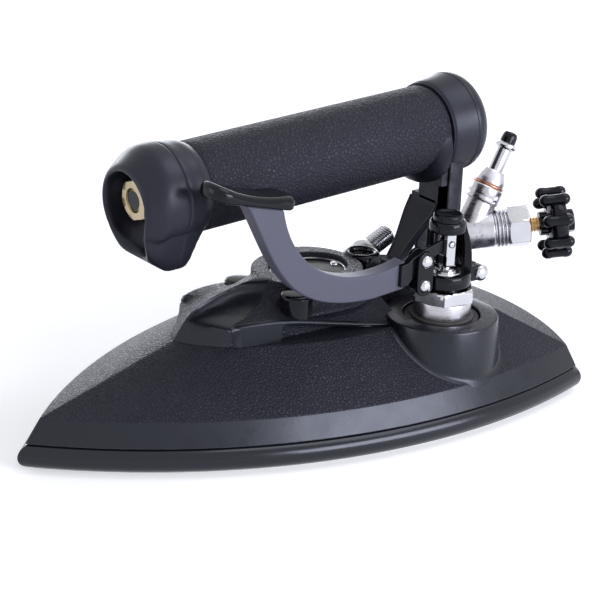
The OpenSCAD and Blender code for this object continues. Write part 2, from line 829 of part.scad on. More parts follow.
module clamp_collar() {
    lug_x = valve_x + collar_r - 1.5;
    ear_r = 3;
    color("#15161a")
        difference() {
            union() {
                difference() {
                    at_valve(collar_z) cylinder(r = collar_r, h = collar_h);
                    translate([pivot_x - over, valve_y - collar_r, collar_z - over])
                        cube([link_r + 0.5 + over, 2 * collar_r, collar_h + 2 * over]);
                }
                translate([pivot_x, tongue_y - tongue_t / 2, rivet_low_z]) {
                    rotate([-90, 0, 0]) cylinder(r = ear_r - 0.6, h = tongue_t);
                    translate([0, 0, -ear_r + 0.7]) cube([link_r + 2, tongue_t, 2 * ear_r - 1.4]);
                }
                translate([lug_x, valve_y - 4.5, collar_z - 0.4]) cube([9, 8, collar_h + 0.4]);
            }
            at_valve(0) cylinder(r = neck_r + 0.03, h = 100);
            translate([valve_x, valve_y - 0.9, collar_z - 2]) cube([30, 0.9, collar_h + 4]);
            translate([pivot_x, 0, rivet_low_z]) rotate([90, 0, 0])
                cylinder(r = rivet_r + run, h = 100, $fn = 32);
            translate([lug_x + 5.5, 0, rivet_low_z]) rotate([90, 0, 0])
                cylinder(r = 1.35, h = 100, $fn = 32);
        }
}

module clamp_screw() {
    x = valve_x + collar_r - 1.5 + 5.5;
    color("gainsboro")
        translate([x, valve_y - 4.5, rivet_low_z]) rotate([90, 0, 0]) {
            rotate_extrude() intersection() {
                translate([0, -1]) circle(r = 2.9);
                square([4, 2]);
            }
            translate([0, 0, -8.5]) cylinder(r = 1.3, h = 8.6);
        }
}

module valve_arch() {
    color("#15161a")
        difference() {
            union() {
                at_valve(arch_z) cylinder(r = arch_r, h = arch_h);
                translate([leg_x, valve_y - leg_w / 2, collar_top])
                    cube([leg_t, leg_w, arch_z + arch_h - collar_top]);
                translate([valve_x, valve_y - leg_w / 2 + 1, arch_z])
                    cube([leg_x - valve_x + 1, leg_w - 2, arch_h]);
                translate([valve_x - 3.2, valve_y + 4.9, collar_top])
                    cube([far_leg_w, far_leg_w, arch_z - collar_top + 1]);
            }
            at_valve(arch_z - over) cylinder(r = 3.7, h = 2.7);
            at_valve(arch_z) cylinder(r = guide_r + 0.3, h = arch_h + over);
        }
}

module arch_cap() {
    color("#101115")
        at_valve(arch_z + arch_h) {
            cylinder(r = arch_cap_r, h = arch_cap_h - 1);
            translate([0, 0, arch_cap_h - 1]) cylinder(r1 = arch_cap_r, r2 = arch_cap_r - 1, h = 1);
        }
}

// A link plate: two round ends joined by a straight bar, with its rivet holes
module link_plate(y) {
    translate([pivot_x, y + link_t, rivet_low_z]) rotate([90, 0, 0])
        linear_extrude(link_t)
            difference() {
                union() {
                    circle(r = link_r);
                    translate([0, link_l]) circle(r = link_r);
                    translate([-link_r, 0]) square([2 * link_r, link_l]);
                }
                circle(r = rivet_r + 0.02);
                translate([0, link_l]) circle(r = rivet_r + 0.02);
            }
}

module link_plate_near() {
    color("#15161a") link_plate(link_near_y);
}

module link_plate_far() {
    color("#15161a") link_plate(link_far_y);
}

// A rivet along the link's width with a domed head at each end
module rivet(z) {
    l = link_far_y + link_t - link_near_y;
    dome_r = (rivet_head_r * rivet_head_r + rivet_head_h * rivet_head_h) / (2 * rivet_head_h);
    color("gainsboro")
        translate([pivot_x, link_near_y, z]) rotate([-90, 0, 0]) {
            cylinder(r = rivet_r, h = l);
            for (s = [0, 1])
                translate([0, 0, s * l]) mirror([0, 0, 1 - s])
                    rotate_extrude() intersection() {
                        translate([0, rivet_head_h - dome_r]) circle(r = dome_r);
                        square([rivet_head_r + 1, rivet_head_h]);
                    }
        }
}

module upper_rivet() {
    rivet(rivet_high_z);
}

module lower_rivet() {
    rivet(rivet_low_z);
}

// Outline of the lever arm, seen from the side: lower edge, heel end, upper edge, seat of the pad
function lever_outline() =
    let (low = curve([[-46, pad_z + 15 * tan(pad_pitch)], [-33, 68], [-30, 49], [9, 48]], 16),
         high = curve([[arm_end_x, 59], [2, 53], [-26, 60], [pad_x, pad_z]], 16))
    concat(low, [[arm_end_x, 49]], high);

module lever_arm() {
    tail = norm([link_x, pin_z - rivet_high_z]);
    color("#6c6c7c")
        difference() {
            union() {
                translate([0, arm_y + arm_t / 2, 0]) rotate([90, 0, 0])
                    linear_extrude(arm_t) polygon(lever_outline());
                translate([0, tongue_y + tongue_t / 2, 0]) rotate([90, 0, 0])
                    linear_extrude(tongue_t) union() {
                        polygon([[arm_end_x - 3, 51.5], [arm_end_x, 51.5], [pivot_x, rivet_high_z - 3.1],
                                 [pivot_x, rivet_high_z + 3.1], [arm_end_x, 58.5], [arm_end_x - 3, 58]]);
                        translate([pivot_x, rivet_high_z]) circle(r = 3.1);
                    }
                translate([pivot_x, blade_y + blade_t / 2, rivet_high_z])
                    rotate([90, 0, 0]) linear_extrude(blade_t)
                        rotate([0, 0, atan2(pin_z - rivet_high_z, link_x)]) union() {
                            translate([0, -blade_r]) square([tail, 2 * blade_r]);
                            translate([tail, 0]) circle(r = blade_r);
                        }
            }
            translate([pivot_x, 0, rivet_high_z]) rotate([90, 0, 0])
                cylinder(r = rivet_r + run, h = 100, $fn = 32);
            translate([pivot_x, blade_y + blade_t, rivet_high_z]) rotate([90, 0, 0])
                linear_extrude(2 * blade_t) rotate([0, 0, atan2(pin_z - rivet_high_z, link_x)])
                    union() {
                        translate([tail - 0.6, 0]) circle(r = pin_r + 0.3);
                        translate([tail + 0.6, 0]) circle(r = pin_r + 0.3);
                        translate([tail - 0.6, -pin_r - 0.3]) square([1.2, 2 * pin_r + 0.6]);
                    }
        }
}

module thumb_pad() {
    corner = 5;
    edge = 1.4;
    front_extra = 1.4;
    dish_r = 64;
    dish_depth = 2.3;
    x0 = -pad_front;
    x1 = pad_l - pad_front;
    color("#26272d")
        translate([pad_x, -29, pad_z]) rotate([0, pad_pitch, 0])
            difference() {
                hull() {
                    for (k = [0, 1], s = [-1, 1])
                        let (x = k == 0 ? x0 + corner : x1 - corner, h = pad_t + front_extra * (1 - k))
                        translate([x, s * (pad_w / 2 - corner), 0]) {
                            cylinder(r = corner - edge, h = h, $fn = 32);
                            translate([0, 0, edge]) cylinder(r = corner, h = h - 2 * edge, $fn = 32);
                        }
                }
                translate([x0 + pad_l / 2, 0, pad_t + front_extra / 2])
                    rotate([0, atan2(front_extra, pad_l), 0])
                        translate([0, 0, dish_r - dish_depth]) rotate([90, 0, 0])
                            cylinder(r = dish_r, h = 2 * pad_w, center = true, $fn = 180);
            }
}

// Places its children on the handle's axis, with +Z running along it to the heel
module on_handle(s = 0) {
    translate([0, 0, axis_z]) rotate([0, 90 - handle_tilt, 0]) translate([0, 0, s]) children();
}

// The cup of the bracket under the rear end of the grip, lower than the grip's axis
module cup() {
    difference() {
        union() {
            intersection() {
                on_handle(0) translate([cup_drop, 0, 0]) rotate_extrude()
                    polygon(concat([[0, cup_s0], [grip_r - cup_drop, cup_s0]],
                                   curve([[grip_r - cup_drop, cup_s0], [15.2, cup_s0 + 3],
                                          [16, cup_s0 + 6], [16, cup_s0 + 8]], 8),
                                   [[16, grip_rear - gap], [0, grip_rear - gap]]));
                on_handle(cup_s0 - over) translate([cup_drop + 1, -grip_r - 2, 0])
                    cube([grip_r + 5, 2 * grip_r + 4, grip_rear]);
            }
            translate([rear_x0 - 3, -rear_half + 1, leg_top - 12.5])
                cube([4, 2 * rear_half - 2, 7.5]);
        }
        on_handle(cup_s0 - 5) cylinder(r = grip_r + gap / 2, h = grip_rear - cup_s0 + 5 + gap / 2);
    }
}

module handle_bracket() {
    color("#1b1c21")
        difference() {
            union() {
                on_handle(bracket_s0) cylinder(r = bracket_disc_r, h = bracket_s1 - bracket_s0);
                translate([0, 0, deck_z]) linear_extrude(leg_top - deck_z)
                    polygon([[rear_x0, -rear_half], [rear_x1, -rear_half],
                             [rear_x1, far_rear_y], [rear_x0, far_front_y]]);
                translate([flange_x0, -rear_half, deck_z]) cube([flange_l, 2 * rear_half, flange_t]);
                hull() {
                    translate([strut_top_x, -strut_top_half, strut_top_z])
                        cube([4, 2 * strut_top_half, 6]);
                    translate([strut_low_x, -strut_low_half, ledge_z])
                        cube([5, 2 * strut_low_half, 3.5]);
                }
                translate([foot_x0, -foot_w / 2, ledge_z]) cube([foot_l, foot_w, foot_t]);
                cup();
            }
            on_handle(bracket_s0 - over) cylinder(r = rod_r + gap, h = 20);
            translate([rear_x0 - over, -7, deck_z + 8])
                cube([rear_x1 - rear_x0 + 2 * over, 9, 15]);
            translate([inlet_x, inlet_y, deck_z - over])
                cylinder(r = inlet_r + soft_gap, h = fit_z - deck_z);
            for (s = [-1, 1])
                translate([bolt_x, s * bolt_y, deck_z - over]) {
                    cylinder(r = bolt_r + gap, h = 10);
                    translate([0, 0, over + flange_t]) cylinder(r = bolt_head_r + 0.4, h = 8);
                }
        }
}

module bracket_bolts() {
    color("silver")
        for (s = [-1, 1])
            translate([bolt_x, s * bolt_y, deck_z + flange_t])
                screw(bolt_r, deck_z + flange_t - dome_z + 8, bolt_head_r, bolt_head_h);
}

module handle_tube() {
    color("silver") on_handle(grip_front) tube(tube_r, tube_r - tube_wall, grip_rear - grip_front);
}

module grip() {
    l = grip_rear - grip_front;
    color("#2a2b33")
        on_handle(grip_front)
            rotate_extrude()
                polygon([[tube_r + 0.03, 0], [grip_r - 0.4, 0], [grip_r, 0.6], [grip_r, l - 0.6],
                         [grip_r - 0.4, l], [tube_r + 0.03, l]]);
}

// Outline of the bumper from the axis: round lip, soft bulge, seam, neck before the grip
bumper_l = grip_front - bumper_front;
seam_s = 14.5;
function bumper_profile() =
    concat([[0, 0]],
           curve([[bumper_r - 4.7, 0], [bumper_r - 2.6, 0.2], [bumper_r - 1.4, 2.4],
                  [bumper_r - 1, 4.8]], 8),
           curve([[bumper_r - 0.9, 5.4], [bumper_r - 0.3, 8], [bumper_r + 0.1, 11],
                  [bumper_r - 0.1, seam_s]], 6),
           [[bumper_r - 0.7, seam_s + 0.2]],
           curve([[bumper_r - 0.1, seam_s + 0.5], [bumper_r - 0.1, 17], [bumper_r - 0.8, 18],
                  [bumper_r - 0.9, 20]], 6),
           curve([[bumper_r - 0.95, 20.6], [bumper_r - 0.9, 23], [bumper_r - 1.6, 24.2],
                  [bumper_r - 2.6, bumper_l]], 6),
           [[0, bumper_l]]);

module front_bumper() {
    color("#2c2e36")
        difference() {
            union() {
                on_handle(bumper_front) rotate_extrude() polygon(bumper_profile());
                hull() {
                    on_handle(lip_s) translate([lip_drop, 0, 0])
                        cylinder(r = lip_r + 1, h = 1, $fn = 30);
                    on_handle(lip_s + 4) cylinder(r = bumper_r - 2.3, h = 11, $fn = 46);
                    for (x = [chin_s0, chin_s1], s = [-1, 1])
                        on_handle(x) translate([chin_drop, s * (chin_half - chin_r), 0])
                            sphere(r = chin_r, $fn = 20);
                }
            }
            on_handle(bumper_front - over) cylinder(r = recess_r, h = recess_d + over);
            on_handle(bumper_front - over) translate([lip_drop - 1, 0, 0])
                cylinder(r = lip_r, h = recess_d + over - 0.4);
            on_handle(bumper_front) cylinder(r = rod_r + soft_gap, h = 2 * bumper_l);
        }
}

module rear_cap() {
    seat_end = bracket_s1 - grip_rear + soft_gap;
    body = cap_round_s - grip_rear;
    tip = cap_end_s - grip_rear;
    color("#23252c")
        difference() {
            on_handle(grip_rear)
                rotate_extrude()
                    polygon(concat([[0, 0]],
                                   curve([[cap_end_r - 1.8, 0], [cap_end_r - 1.1, 2],
                                          [cap_end_r - 0.8, 6], [cap_end_r, body]], 8),
                                   curve([[cap_end_r, body], [cap_end_r, body + 3.5],
                                          [cap_end_r * 0.66, tip], [0, tip]], 14)));
            on_handle(grip_rear - over) cylinder(r = cap_cavity_r, h = seat_end + over);
            on_handle(grip_rear) cylinder(r = nut_room_r, h = rod_rear - grip_rear + 1);
            translate([rear_x0 - 6, -rear_half - 0.4, 60])
                cube([rear_x1 - rear_x0 + 7, 2 * rear_half + 0.8, 27]);
        }
}

module tie_rod() {
    color("#b9a77c") on_handle(rod_front) cylinder(r = rod_r, h = rod_rear - rod_front);
}

module rod_nut(s) {
    color("#c9bb93")
        on_handle(s) intersection() {
            difference() {
                hexagon(rod_nut_af, nut_t);
                translate([0, 0, -over]) cylinder(r = rod_r + 0.03, h = nut_t + 2 * over);
            }
            rotate_extrude() polygon([[0, 0], [rod_nut_af / 2, 0], [rod_nut_af / 2 + 1.2, 0.8],
                                      [rod_nut_af / 2 + 1.2, nut_t], [0, nut_t]]);
        }
}

module tie_nut() {
    rod_nut(nut_front);
}

module rear_nut() {
    rod_nut(bracket_s1);
}

module tie_washer() {
    color("gainsboro") on_handle(nut_front + nut_t) tube(washer_r, rod_r + gap, washer_t);
}

// Places its children on the hand valve's axis, with +Z pointing away from the iron
module on_valve_axis(s = 0) {
    translate([fit_x, 0, fit_z])
        rotate([0, 0, -fit_yaw]) rotate([0, 90 - fit_rise, 0]) translate([0, 0, s]) children();
}

// Places its children on the hose branch's axis
module on_branch(s = 0) {
    translate([fit_x, 0, fit_z]) rotate([0, 90 - hose_rise, 0]) translate([0, 0, s]) children();
}

module fitting_gasket() {
    color("#b87333")
        translate([inlet_x, inlet_y, inlet_z]) tube(inlet_r, needle_bore_r + 1, 0.8);
}

module fitting_body() {
    color("#b9b8c0")
        difference() {
            union() {
                on_valve_axis(body_s0) cylinder(r = fit_r, h = body_s1 - body_s0);
                on_valve_axis(body_s1) cylinder(r = fit_r - 0.6, h = ring_s1 - body_s1);
                on_valve_axis(body_s1 + 0.6) cylinder(r = fit_r + 0.3, h = 0.9);
                on_valve_axis(body_s1 + 2.2) cylinder(r = fit_r + 0.3, h = 0.9);
                on_branch(0) cylinder(r1 = fit_r - 0.8, r2 = branch_r, h = branch_s1);
                translate([inlet_x, inlet_y, inlet_z + 0.8])
                    cylinder(r = inlet_r, h = fit_z - inlet_z - 2);
            }
            on_valve_axis(seat_s) cylinder(r = needle_bore_r, h = 40);
            on_valve_axis(body_s0 + 5) cylinder(r = 1.5, h = 40);
            on_branch(0) cylinder(r = branch_bore_r, h = 40);
            translate([inlet_x, inlet_y, 0]) cylinder(r = 2.6, h = fit_z);
        }
}

module gland_nut() {
    l = gland_s1 - ring_s1;
    color("gainsboro")
        on_valve_axis(ring_s1)
            difference() {
                intersection() {
                    rotate([0, 0, 30]) hexagon(gland_af, l);
                    rotate_extrude()
                        polygon([[0, 0], [gland_af / 2 + 1.3, 0], [gland_af / 2 + 1.3, l - 1],
                                 [gland_af / 2, l], [0, l]]);
                }
                translate([0, 0, -over]) cylinder(r = needle_r + run, h = 20);
                translate([0, 0, -over]) cylinder(r = needle_bore_r + 1, h = over + 5);
            }
}

module needle_packing() {
    color("#4a4a46")
        on_valve_axis(ring_s1) tube(needle_bore_r + 0.98, needle_r + run, 4.98);
}

module needle_stem() {
    color("#b08d57")
        on_valve_axis(0) {
            translate([0, 0, needle_tip_s]) cylinder(r1 = 0.6, r2 = 1.4, h = 2);
            translate([0, 0, needle_tip_s + 2]) cylinder(r1 = 1.4, r2 = needle_r, h = 2);
            translate([0, 0, needle_tip_s + 4]) cylinder(r = needle_r, h = wheel_s0 - needle_tip_s - 4);
            translate([0, 0, wheel_s0 - 0.01]) cylinder(r = 2, h = stem_s1 + wheel_nut_t - wheel_s0);
        }
}

module handwheel() {
    rim_r = wheel_r - lobe_r;
    color("#101114")
        on_valve_axis(wheel_s0)
            difference() {
                union() {
                    cylinder(r = 4.5, h = stem_s1 - wheel_s0);
                    translate([0, 0, 4]) cylinder(r = hub_r, h = 5);
                    translate([0, 0, 3.4]) cylinder(r = rim_r, h = 6.4);
                    for (i = [0:wheel_lobes - 1])
                        rotate([0, 0, (i + 0.5) * 360 / wheel_lobes])
                            translate([rim_r, 0, lobe_s0 - wheel_s0 + lobe_r - 0.6]) {
                                cylinder(r = lobe_r, h = lobe_l - 2 * lobe_r + 1.2, $fn = 24);
                                sphere(r = lobe_r, $fn = 24);
                                translate([0, 0, lobe_l - 2 * lobe_r + 1.2]) sphere(r = lobe_r, $fn = 24);
                            }
                }
                translate([0, 0, -over]) cylinder(r = 2.06, h = 30);
                translate([0, 0, 8.4]) tube(rim_r - 2.2, 4.5, 4);
            }
}

module wheel_nut() {
    color("#15161a")
        on_valve_axis(stem_s1)
            difference() {
                hexagon(wheel_nut_af, wheel_nut_t);
                translate([0, 0, -over]) cylinder(r = 2.06, h = wheel_nut_t + 2 * over);
            }
}

module branch_nut() {
    color("gainsboro")
        on_branch(branch_s1)
            intersection() {
                tube(branch_r + 0.3, hose_r, branch_nut_l);
                rotate_extrude() polygon([[0, 0], [branch_r - 0.5, 0], [branch_r + 0.3, 0.8],
                                          [branch_r + 0.3, branch_nut_l - 0.6],
                                          [branch_r - 0.5, branch_nut_l], [0, branch_nut_l]]);
            }
}

module copper_washer() {
    color("#b4523a") on_branch(branch_s1 + branch_nut_l) tube(branch_r, hose_r, 0.8);
}

module nipple_collar() {
    wide_l = 2.2;
    color("#c8c6d6")
        on_branch(branch_s1 + branch_nut_l + 0.8)
            difference() {
                union() {
                    cylinder(r = branch_r - 0.4, h = wide_l);
                    translate([0, 0, wide_l])
                        cylinder(r1 = branch_r - 0.4, r2 = hose_r + 1.1, h = collar_l - wide_l);
                }
                translate([0, 0, -over]) cylinder(r = hose_r + 0.02, h = 20);
            }
}

module hose_nipple() {
    s0 = branch_s1 + branch_nut_l + 0.8;
    l = collar_l + nipple_l;
    color("gainsboro")
        on_branch(s0)
            difference() {
                rotate_extrude()
                    polygon(concat([[0, 0], [hose_r, 0], [hose_r, l - 7.4], [ring_r - 0.5, l - 7],
                                    [ring_r, l - 6.6], [ring_r, l - 4.4], [ring_r - 0.5, l - 4],
                                    [hose_r, l - 3.8]],
                                   curve([[hose_r, l - 3.8], [hose_r, l - 1.4],
                                          [hose_r - 1, l], [0, l]], 8)));
                translate([0, 0, -over]) cylinder(r = 1.6, h = 60);
            }
}

module drain_nipple() {
    color("#b9b8c0")
        difference() {
            union() {
                translate([drain_x, drain_y, drain_column_z])
                    cylinder(r = drain_ball_r - 0.2, h = drain_z - drain_column_z);
                translate([drain_x, drain_y, drain_z]) sphere(r = drain_ball_r);
                translate([drain_x, drain_y, drain_z]) rotate([0, 90 - drain_rise, 0])
                    cylinder(r = drain_r, h = 5 + drain_l);
            }
            translate([drain_x, drain_y, drain_column_z - over])
                cylinder(r = drain_bore_r, h = drain_z - drain_column_z);
            translate([drain_x, drain_y, drain_z]) rotate([0, 90 - drain_rise, 0])
                cylinder(r = drain_bore_r, h = 60);
        }
}

sole_plate();
sole_gasket();
base_casting();
sole_screws();
cover();
turret_cover();
nameplate();
nameplate_screws();
centre_plug();
plug_washer();
cover_screws();
screw_caps();
valve_seat();
valve_disc();
valve_spring();
bonnet_gasket();
valve_bonnet();
valve_packing();
gland_ring();
valve_stem();
stem_pin();
clamp_collar();
clamp_screw();
valve_arch();
arch_cap();
link_plate_near();
link_plate_far();
upper_rivet();
lower_rivet();
lever_arm();
thumb_pad();
handle_bracket();
bracket_bolts();
handle_tube();
grip();
front_bumper();
rear_cap();
tie_rod();
tie_nut();
tie_washer();
rear_nut();
fitting_gasket();
fitting_body();
gland_nut();
needle_packing();
needle_stem();
handwheel();
wheel_nut();
branch_nut();
copper_washer();
nipple_collar();
hose_nipple();
drain_nipple();
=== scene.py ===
import math

import bmesh
import bpy
from mathutils import Matrix, Vector


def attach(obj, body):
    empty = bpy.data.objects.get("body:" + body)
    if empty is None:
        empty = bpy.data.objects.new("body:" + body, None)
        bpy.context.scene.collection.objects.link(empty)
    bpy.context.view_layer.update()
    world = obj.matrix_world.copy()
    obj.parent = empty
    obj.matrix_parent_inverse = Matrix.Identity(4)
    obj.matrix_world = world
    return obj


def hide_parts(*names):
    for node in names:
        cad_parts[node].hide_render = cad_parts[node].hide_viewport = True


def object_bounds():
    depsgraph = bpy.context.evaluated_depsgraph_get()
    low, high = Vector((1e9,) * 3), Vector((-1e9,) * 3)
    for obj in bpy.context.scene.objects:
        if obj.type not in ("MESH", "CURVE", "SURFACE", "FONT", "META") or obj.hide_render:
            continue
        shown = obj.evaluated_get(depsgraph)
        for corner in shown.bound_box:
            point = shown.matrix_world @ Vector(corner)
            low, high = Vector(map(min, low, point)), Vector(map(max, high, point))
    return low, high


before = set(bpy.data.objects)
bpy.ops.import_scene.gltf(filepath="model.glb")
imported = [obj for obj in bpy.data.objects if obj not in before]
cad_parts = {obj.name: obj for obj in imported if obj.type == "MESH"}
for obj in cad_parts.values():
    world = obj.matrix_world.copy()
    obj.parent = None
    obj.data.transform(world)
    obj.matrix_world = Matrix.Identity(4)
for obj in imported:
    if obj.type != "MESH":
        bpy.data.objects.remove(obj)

cad_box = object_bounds()
MM = 0.001


# ---------------------------------------------------------------- small helpers
def spread(a, b, n):
    """n + 1 even steps from a to b."""
    return [a + (b - a) * i / n for i in range(n + 1)]


def ease(t):
    t = min(1.0, max(0.0, t))
    return t * t * (3 - 2 * t)


def between(keys, x):
    """Smooth curve through (place, value) keys, without overshoot."""
    if x <= keys[0][0]:
        return keys[0][1]
    for k in range(len(keys) - 1):
        (x0, y0), (x1, y1) = keys[k], keys[k + 1]
        if x <= x1:
            def slope(i):
                if i <= 0 or i >= len(keys) - 1:
                    j = min(max(i, 1), len(keys) - 1)
                    return (keys[j][1] - keys[j - 1][1]) / (keys[j][0] - keys[j - 1][0])
                a = (keys[i][1] - keys[i - 1][1]) / (keys[i][0] - keys[i - 1][0])
                b = (keys[i + 1][1] - keys[i][1]) / (keys[i + 1][0] - keys[i][0])
                return 0.0 if a * b <= 0 else 2 * a * b / (a + b)
            h = x1 - x0
            t = (x - x0) / h
            return (y0 * (1 + 2 * t) * (1 - t) ** 2 + y1 * t * t * (3 - 2 * t)
                    + h * (slope(k) * t * (1 - t) ** 2 - slope(k + 1) * t * t * (1 - t)))
    return keys[-1][1]


def arc(cx, cy, r, a0, a1, n=8):
    """Points of a circle's arc, angles in degrees."""
    return [(cx + r * math.cos(math.radians(a)), cy + r * math.sin(math.radians(a))) for a in spread(a0, a1, n)]


def bezier(p, n=12):
    out = []
    for t in spread(0, 1, n):
        w = ((1 - t) ** 3, 3 * t * (1 - t) ** 2, 3 * t * t * (1 - t), t ** 3)
        out.append(tuple(sum(w[k] * p[k][c] for k in range(4)) for c in range(2)))
    return out


def place(origin, z_dir, x_dir=None):
    """Matrix whose local Z runs along z_dir from the origin, in millimetres."""
    z = Vector(z_dir).normalized()
    x = Vector(x_dir) if x_dir else Vector((0, 1, 0)).cross(z) if abs(z.y) < 0.9 else Vector((1, 0, 0))
    x = (x - z * x.dot(z)).normalized()
    y = z.cross(x)
    m = Matrix.Identity(4)
    for r in range(3):
        m[r][0], m[r][1], m[r][2], m[r][3] = x[r], y[r], z[r], origin[r]
    return m


class Shell:
    """Gathers points in millimetres and faces with a finish number each, then becomes one object."""

    def __init__(self, where=None):
        self.points, self.faces, self.finishes = [], [], []
        self.where = where or Matrix.Identity(4)

    def add(self, points, faces, finish=0):
        base = len(self.points)
        self.points += [self.where @ Vector(p) for p in points]
        for k, f in enumerate(faces):
            self.faces.append([base + i for i in f])
            self.finishes.append(finish[k] if isinstance(finish, list) else finish)
        return self

    def rings(self, rings, finish=0, around=False, caps=True, cap_finish=None):
        """Closed rings joined into a skin. around joins the last to the first, caps closes both ends.
        finish may be a list with one number for each gap between rings."""
        n, m = len(rings[0]), len(rings)
        points = [p for r in rings for p in r]
        faces, marks = [], []
        for k in range(m if around else m - 1):
            a, b = k * n, ((k + 1) % m) * n
            for i in range(n):
                j = (i + 1) % n
                faces.append([a + i, a + j, b + j, b + i])
                marks.append(finish[k] if isinstance(finish, list) else finish)
        if caps and not around:
            ends = finish if not isinstance(finish, list) else None
            low = cap_finish if cap_finish is not None else (ends if ends is not None else finish[0])
            high = cap_finish if cap_finish is not None else (ends if ends is not None else finish[-1])
            faces.append(list(range(n))[::-1])
            marks.append(low)
            faces.append([(m - 1) * n + i for i in range(n)])
            marks.append(high)
        return self.add(points, faces, marks)

    def lathe(self, profile, steps=72, finish=0, closed=False):
        """Profile of (radius, height) turned about local Z. closed joins its ends, as for a ring."""
        rows, points = [], []
        for r, z in profile:
            if r < 1e-6:
                rows.append([len(points)])
                points.append((0, 0, z))
            else:
                rows.append(list(range(len(points), len(points) + steps)))
                points += [(r * math.cos(math.tau * i / steps), r * math.sin(math.tau * i / steps), z)
                           for i in range(steps)]
        faces, marks = [], []
        pairs = list(zip(rows, rows[1:])) + ([(rows[-1], rows[0])] if closed else [])
        for k, (a, b) in enumerate(pairs):
            mark = finish[k] if isinstance(finish, list) else finish
            for i in range(steps):
                j = (i + 1) % steps
                if len(a) == 1 and len(b) == 1:
                    continue
                if len(a) == 1:
                    faces.append([a[0], b[j], b[i]])
                elif len(b) == 1:
                    faces.append([a[i], a[j], b[0]])
                else:
                    faces.append([a[i], a[j], b[j], b[i]])
                marks.append(mark)
        if not closed:
            for row, flip in ((rows[0], True), (rows[-1], False)):
                if len(row) > 1:
                    faces.append(row[::-1] if flip else row)
                    marks.append(marks[0] if flip else marks[-1])
        return self.add(points, faces, marks)

    def slab(self, outline, z0, z1, finish=0):
        """Flat outline raised along local Z."""
        return self.rings([[(x, y, z0) for x, y in outline], [(x, y, z1) for x, y in outline]], finish)

    def make(self, name, body, finishes, covers=(), slot=None, bevel=0.0, angle=30, segments=2, weld=True):
        mesh = bpy.data.meshes.new(name)
        mesh.from_pydata([p * MM for p in self.points], [], self.faces)
        for k, p in enumerate(mesh.polygons):
            p.material_index = self.finishes[k]
            p.use_smooth = True
        for f in finishes if isinstance(finishes, (list, tuple)) else [finishes]:
            mesh.materials.append(f)
        work = bmesh.new()
        work.from_mesh(mesh)
        if weld:
            bmesh.ops.remove_doubles(work, verts=work.verts, dist=2e-7)
            bmesh.ops.dissolve_degenerate(work, dist=1e-7, edges=work.edges)
        bmesh.ops.recalc_face_normals(work, faces=work.faces)
        work.to_mesh(mesh)
        work.free()
        made = bpy.data.objects.new(name, mesh)
        bpy.context.scene.collection.objects.link(made)
        soften(made, bevel, angle, segments)
        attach(made, body)
        if covers:
            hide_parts(*covers)
        return made


def soften(made, bevel, angle=30, segments=2):
    """Rounds the sharp edges of an object and gives its flats clean shading."""
    if bevel:
        mod = made.modifiers.new("rounded_edges", "BEVEL")
        mod.width = bevel * MM
        mod.segments = segments
        mod.limit_method = "ANGLE"
        mod.angle_limit = math.radians(angle)
        mod.harden_normals = True
        mod.miter_outer = "MITER_ARC"
        mod.use_clamp_overlap = True
    else:
        mod = made.modifiers.new("crisp_edges", "EDGE_SPLIT")
        mod.split_angle = math.radians(angle)


# ---------------------------------------------------------------- shared effects for the finishes
def group_start(name, inputs, outputs):
    tree = bpy.data.node_groups.new(name, "ShaderNodeTree")
    for label, kind, value in inputs:
        sock = tree.interface.new_socket(name=label, in_out="INPUT", socket_type=kind)
        if value is not None:
            sock.default_value = value
    for label, kind in outputs:
        tree.interface.new_socket(name=label, in_out="OUTPUT", socket_type=kind)
    return tree, tree.nodes.new("NodeGroupInput"), tree.nodes.new("NodeGroupOutput")


def link(tree, a, b):
    tree.links.new(a, b)


def math_node(tree, op, a, b=None, clamp=False):
    node = tree.nodes.new("ShaderNodeMath")
    node.operation = op
    node.use_clamp = clamp
    for k, v in enumerate((a, b)):
        if v is None:
            continue
        if isinstance(v, (int, float)):
            node.inputs[k].default_value = v
        else:
            link(tree, v, node.inputs[k])
    return node.outputs[0]


def span_node(tree, value, lo, hi, to_lo=0.0, to_hi=1.0):
    node = tree.nodes.new("ShaderNodeMapRange")
    node.clamp = True
    link(tree, value, node.inputs["Value"])
    for label, v in (("From Min", lo), ("From Max", hi), ("To Min", to_lo), ("To Max", to_hi)):
        if isinstance(v, (int, float)):
            node.inputs[label].default_value = v
        else:
            link(tree, v, node.inputs[label])
    return node.outputs["Result"]


def noise_node(tree, where, scale, detail=3.0, rough=0.5):
    node = tree.nodes.new("ShaderNodeTexNoise")
    link(tree, where, node.inputs["Vector"])
    if isinstance(scale, (int, float)):
        node.inputs["Scale"].default_value = scale
    else:
        link(tree, scale, node.inputs["Scale"])
    node.inputs["Detail"].default_value = detail
    node.inputs["Roughness"].default_value = rough
    return node.outputs["Fac"]


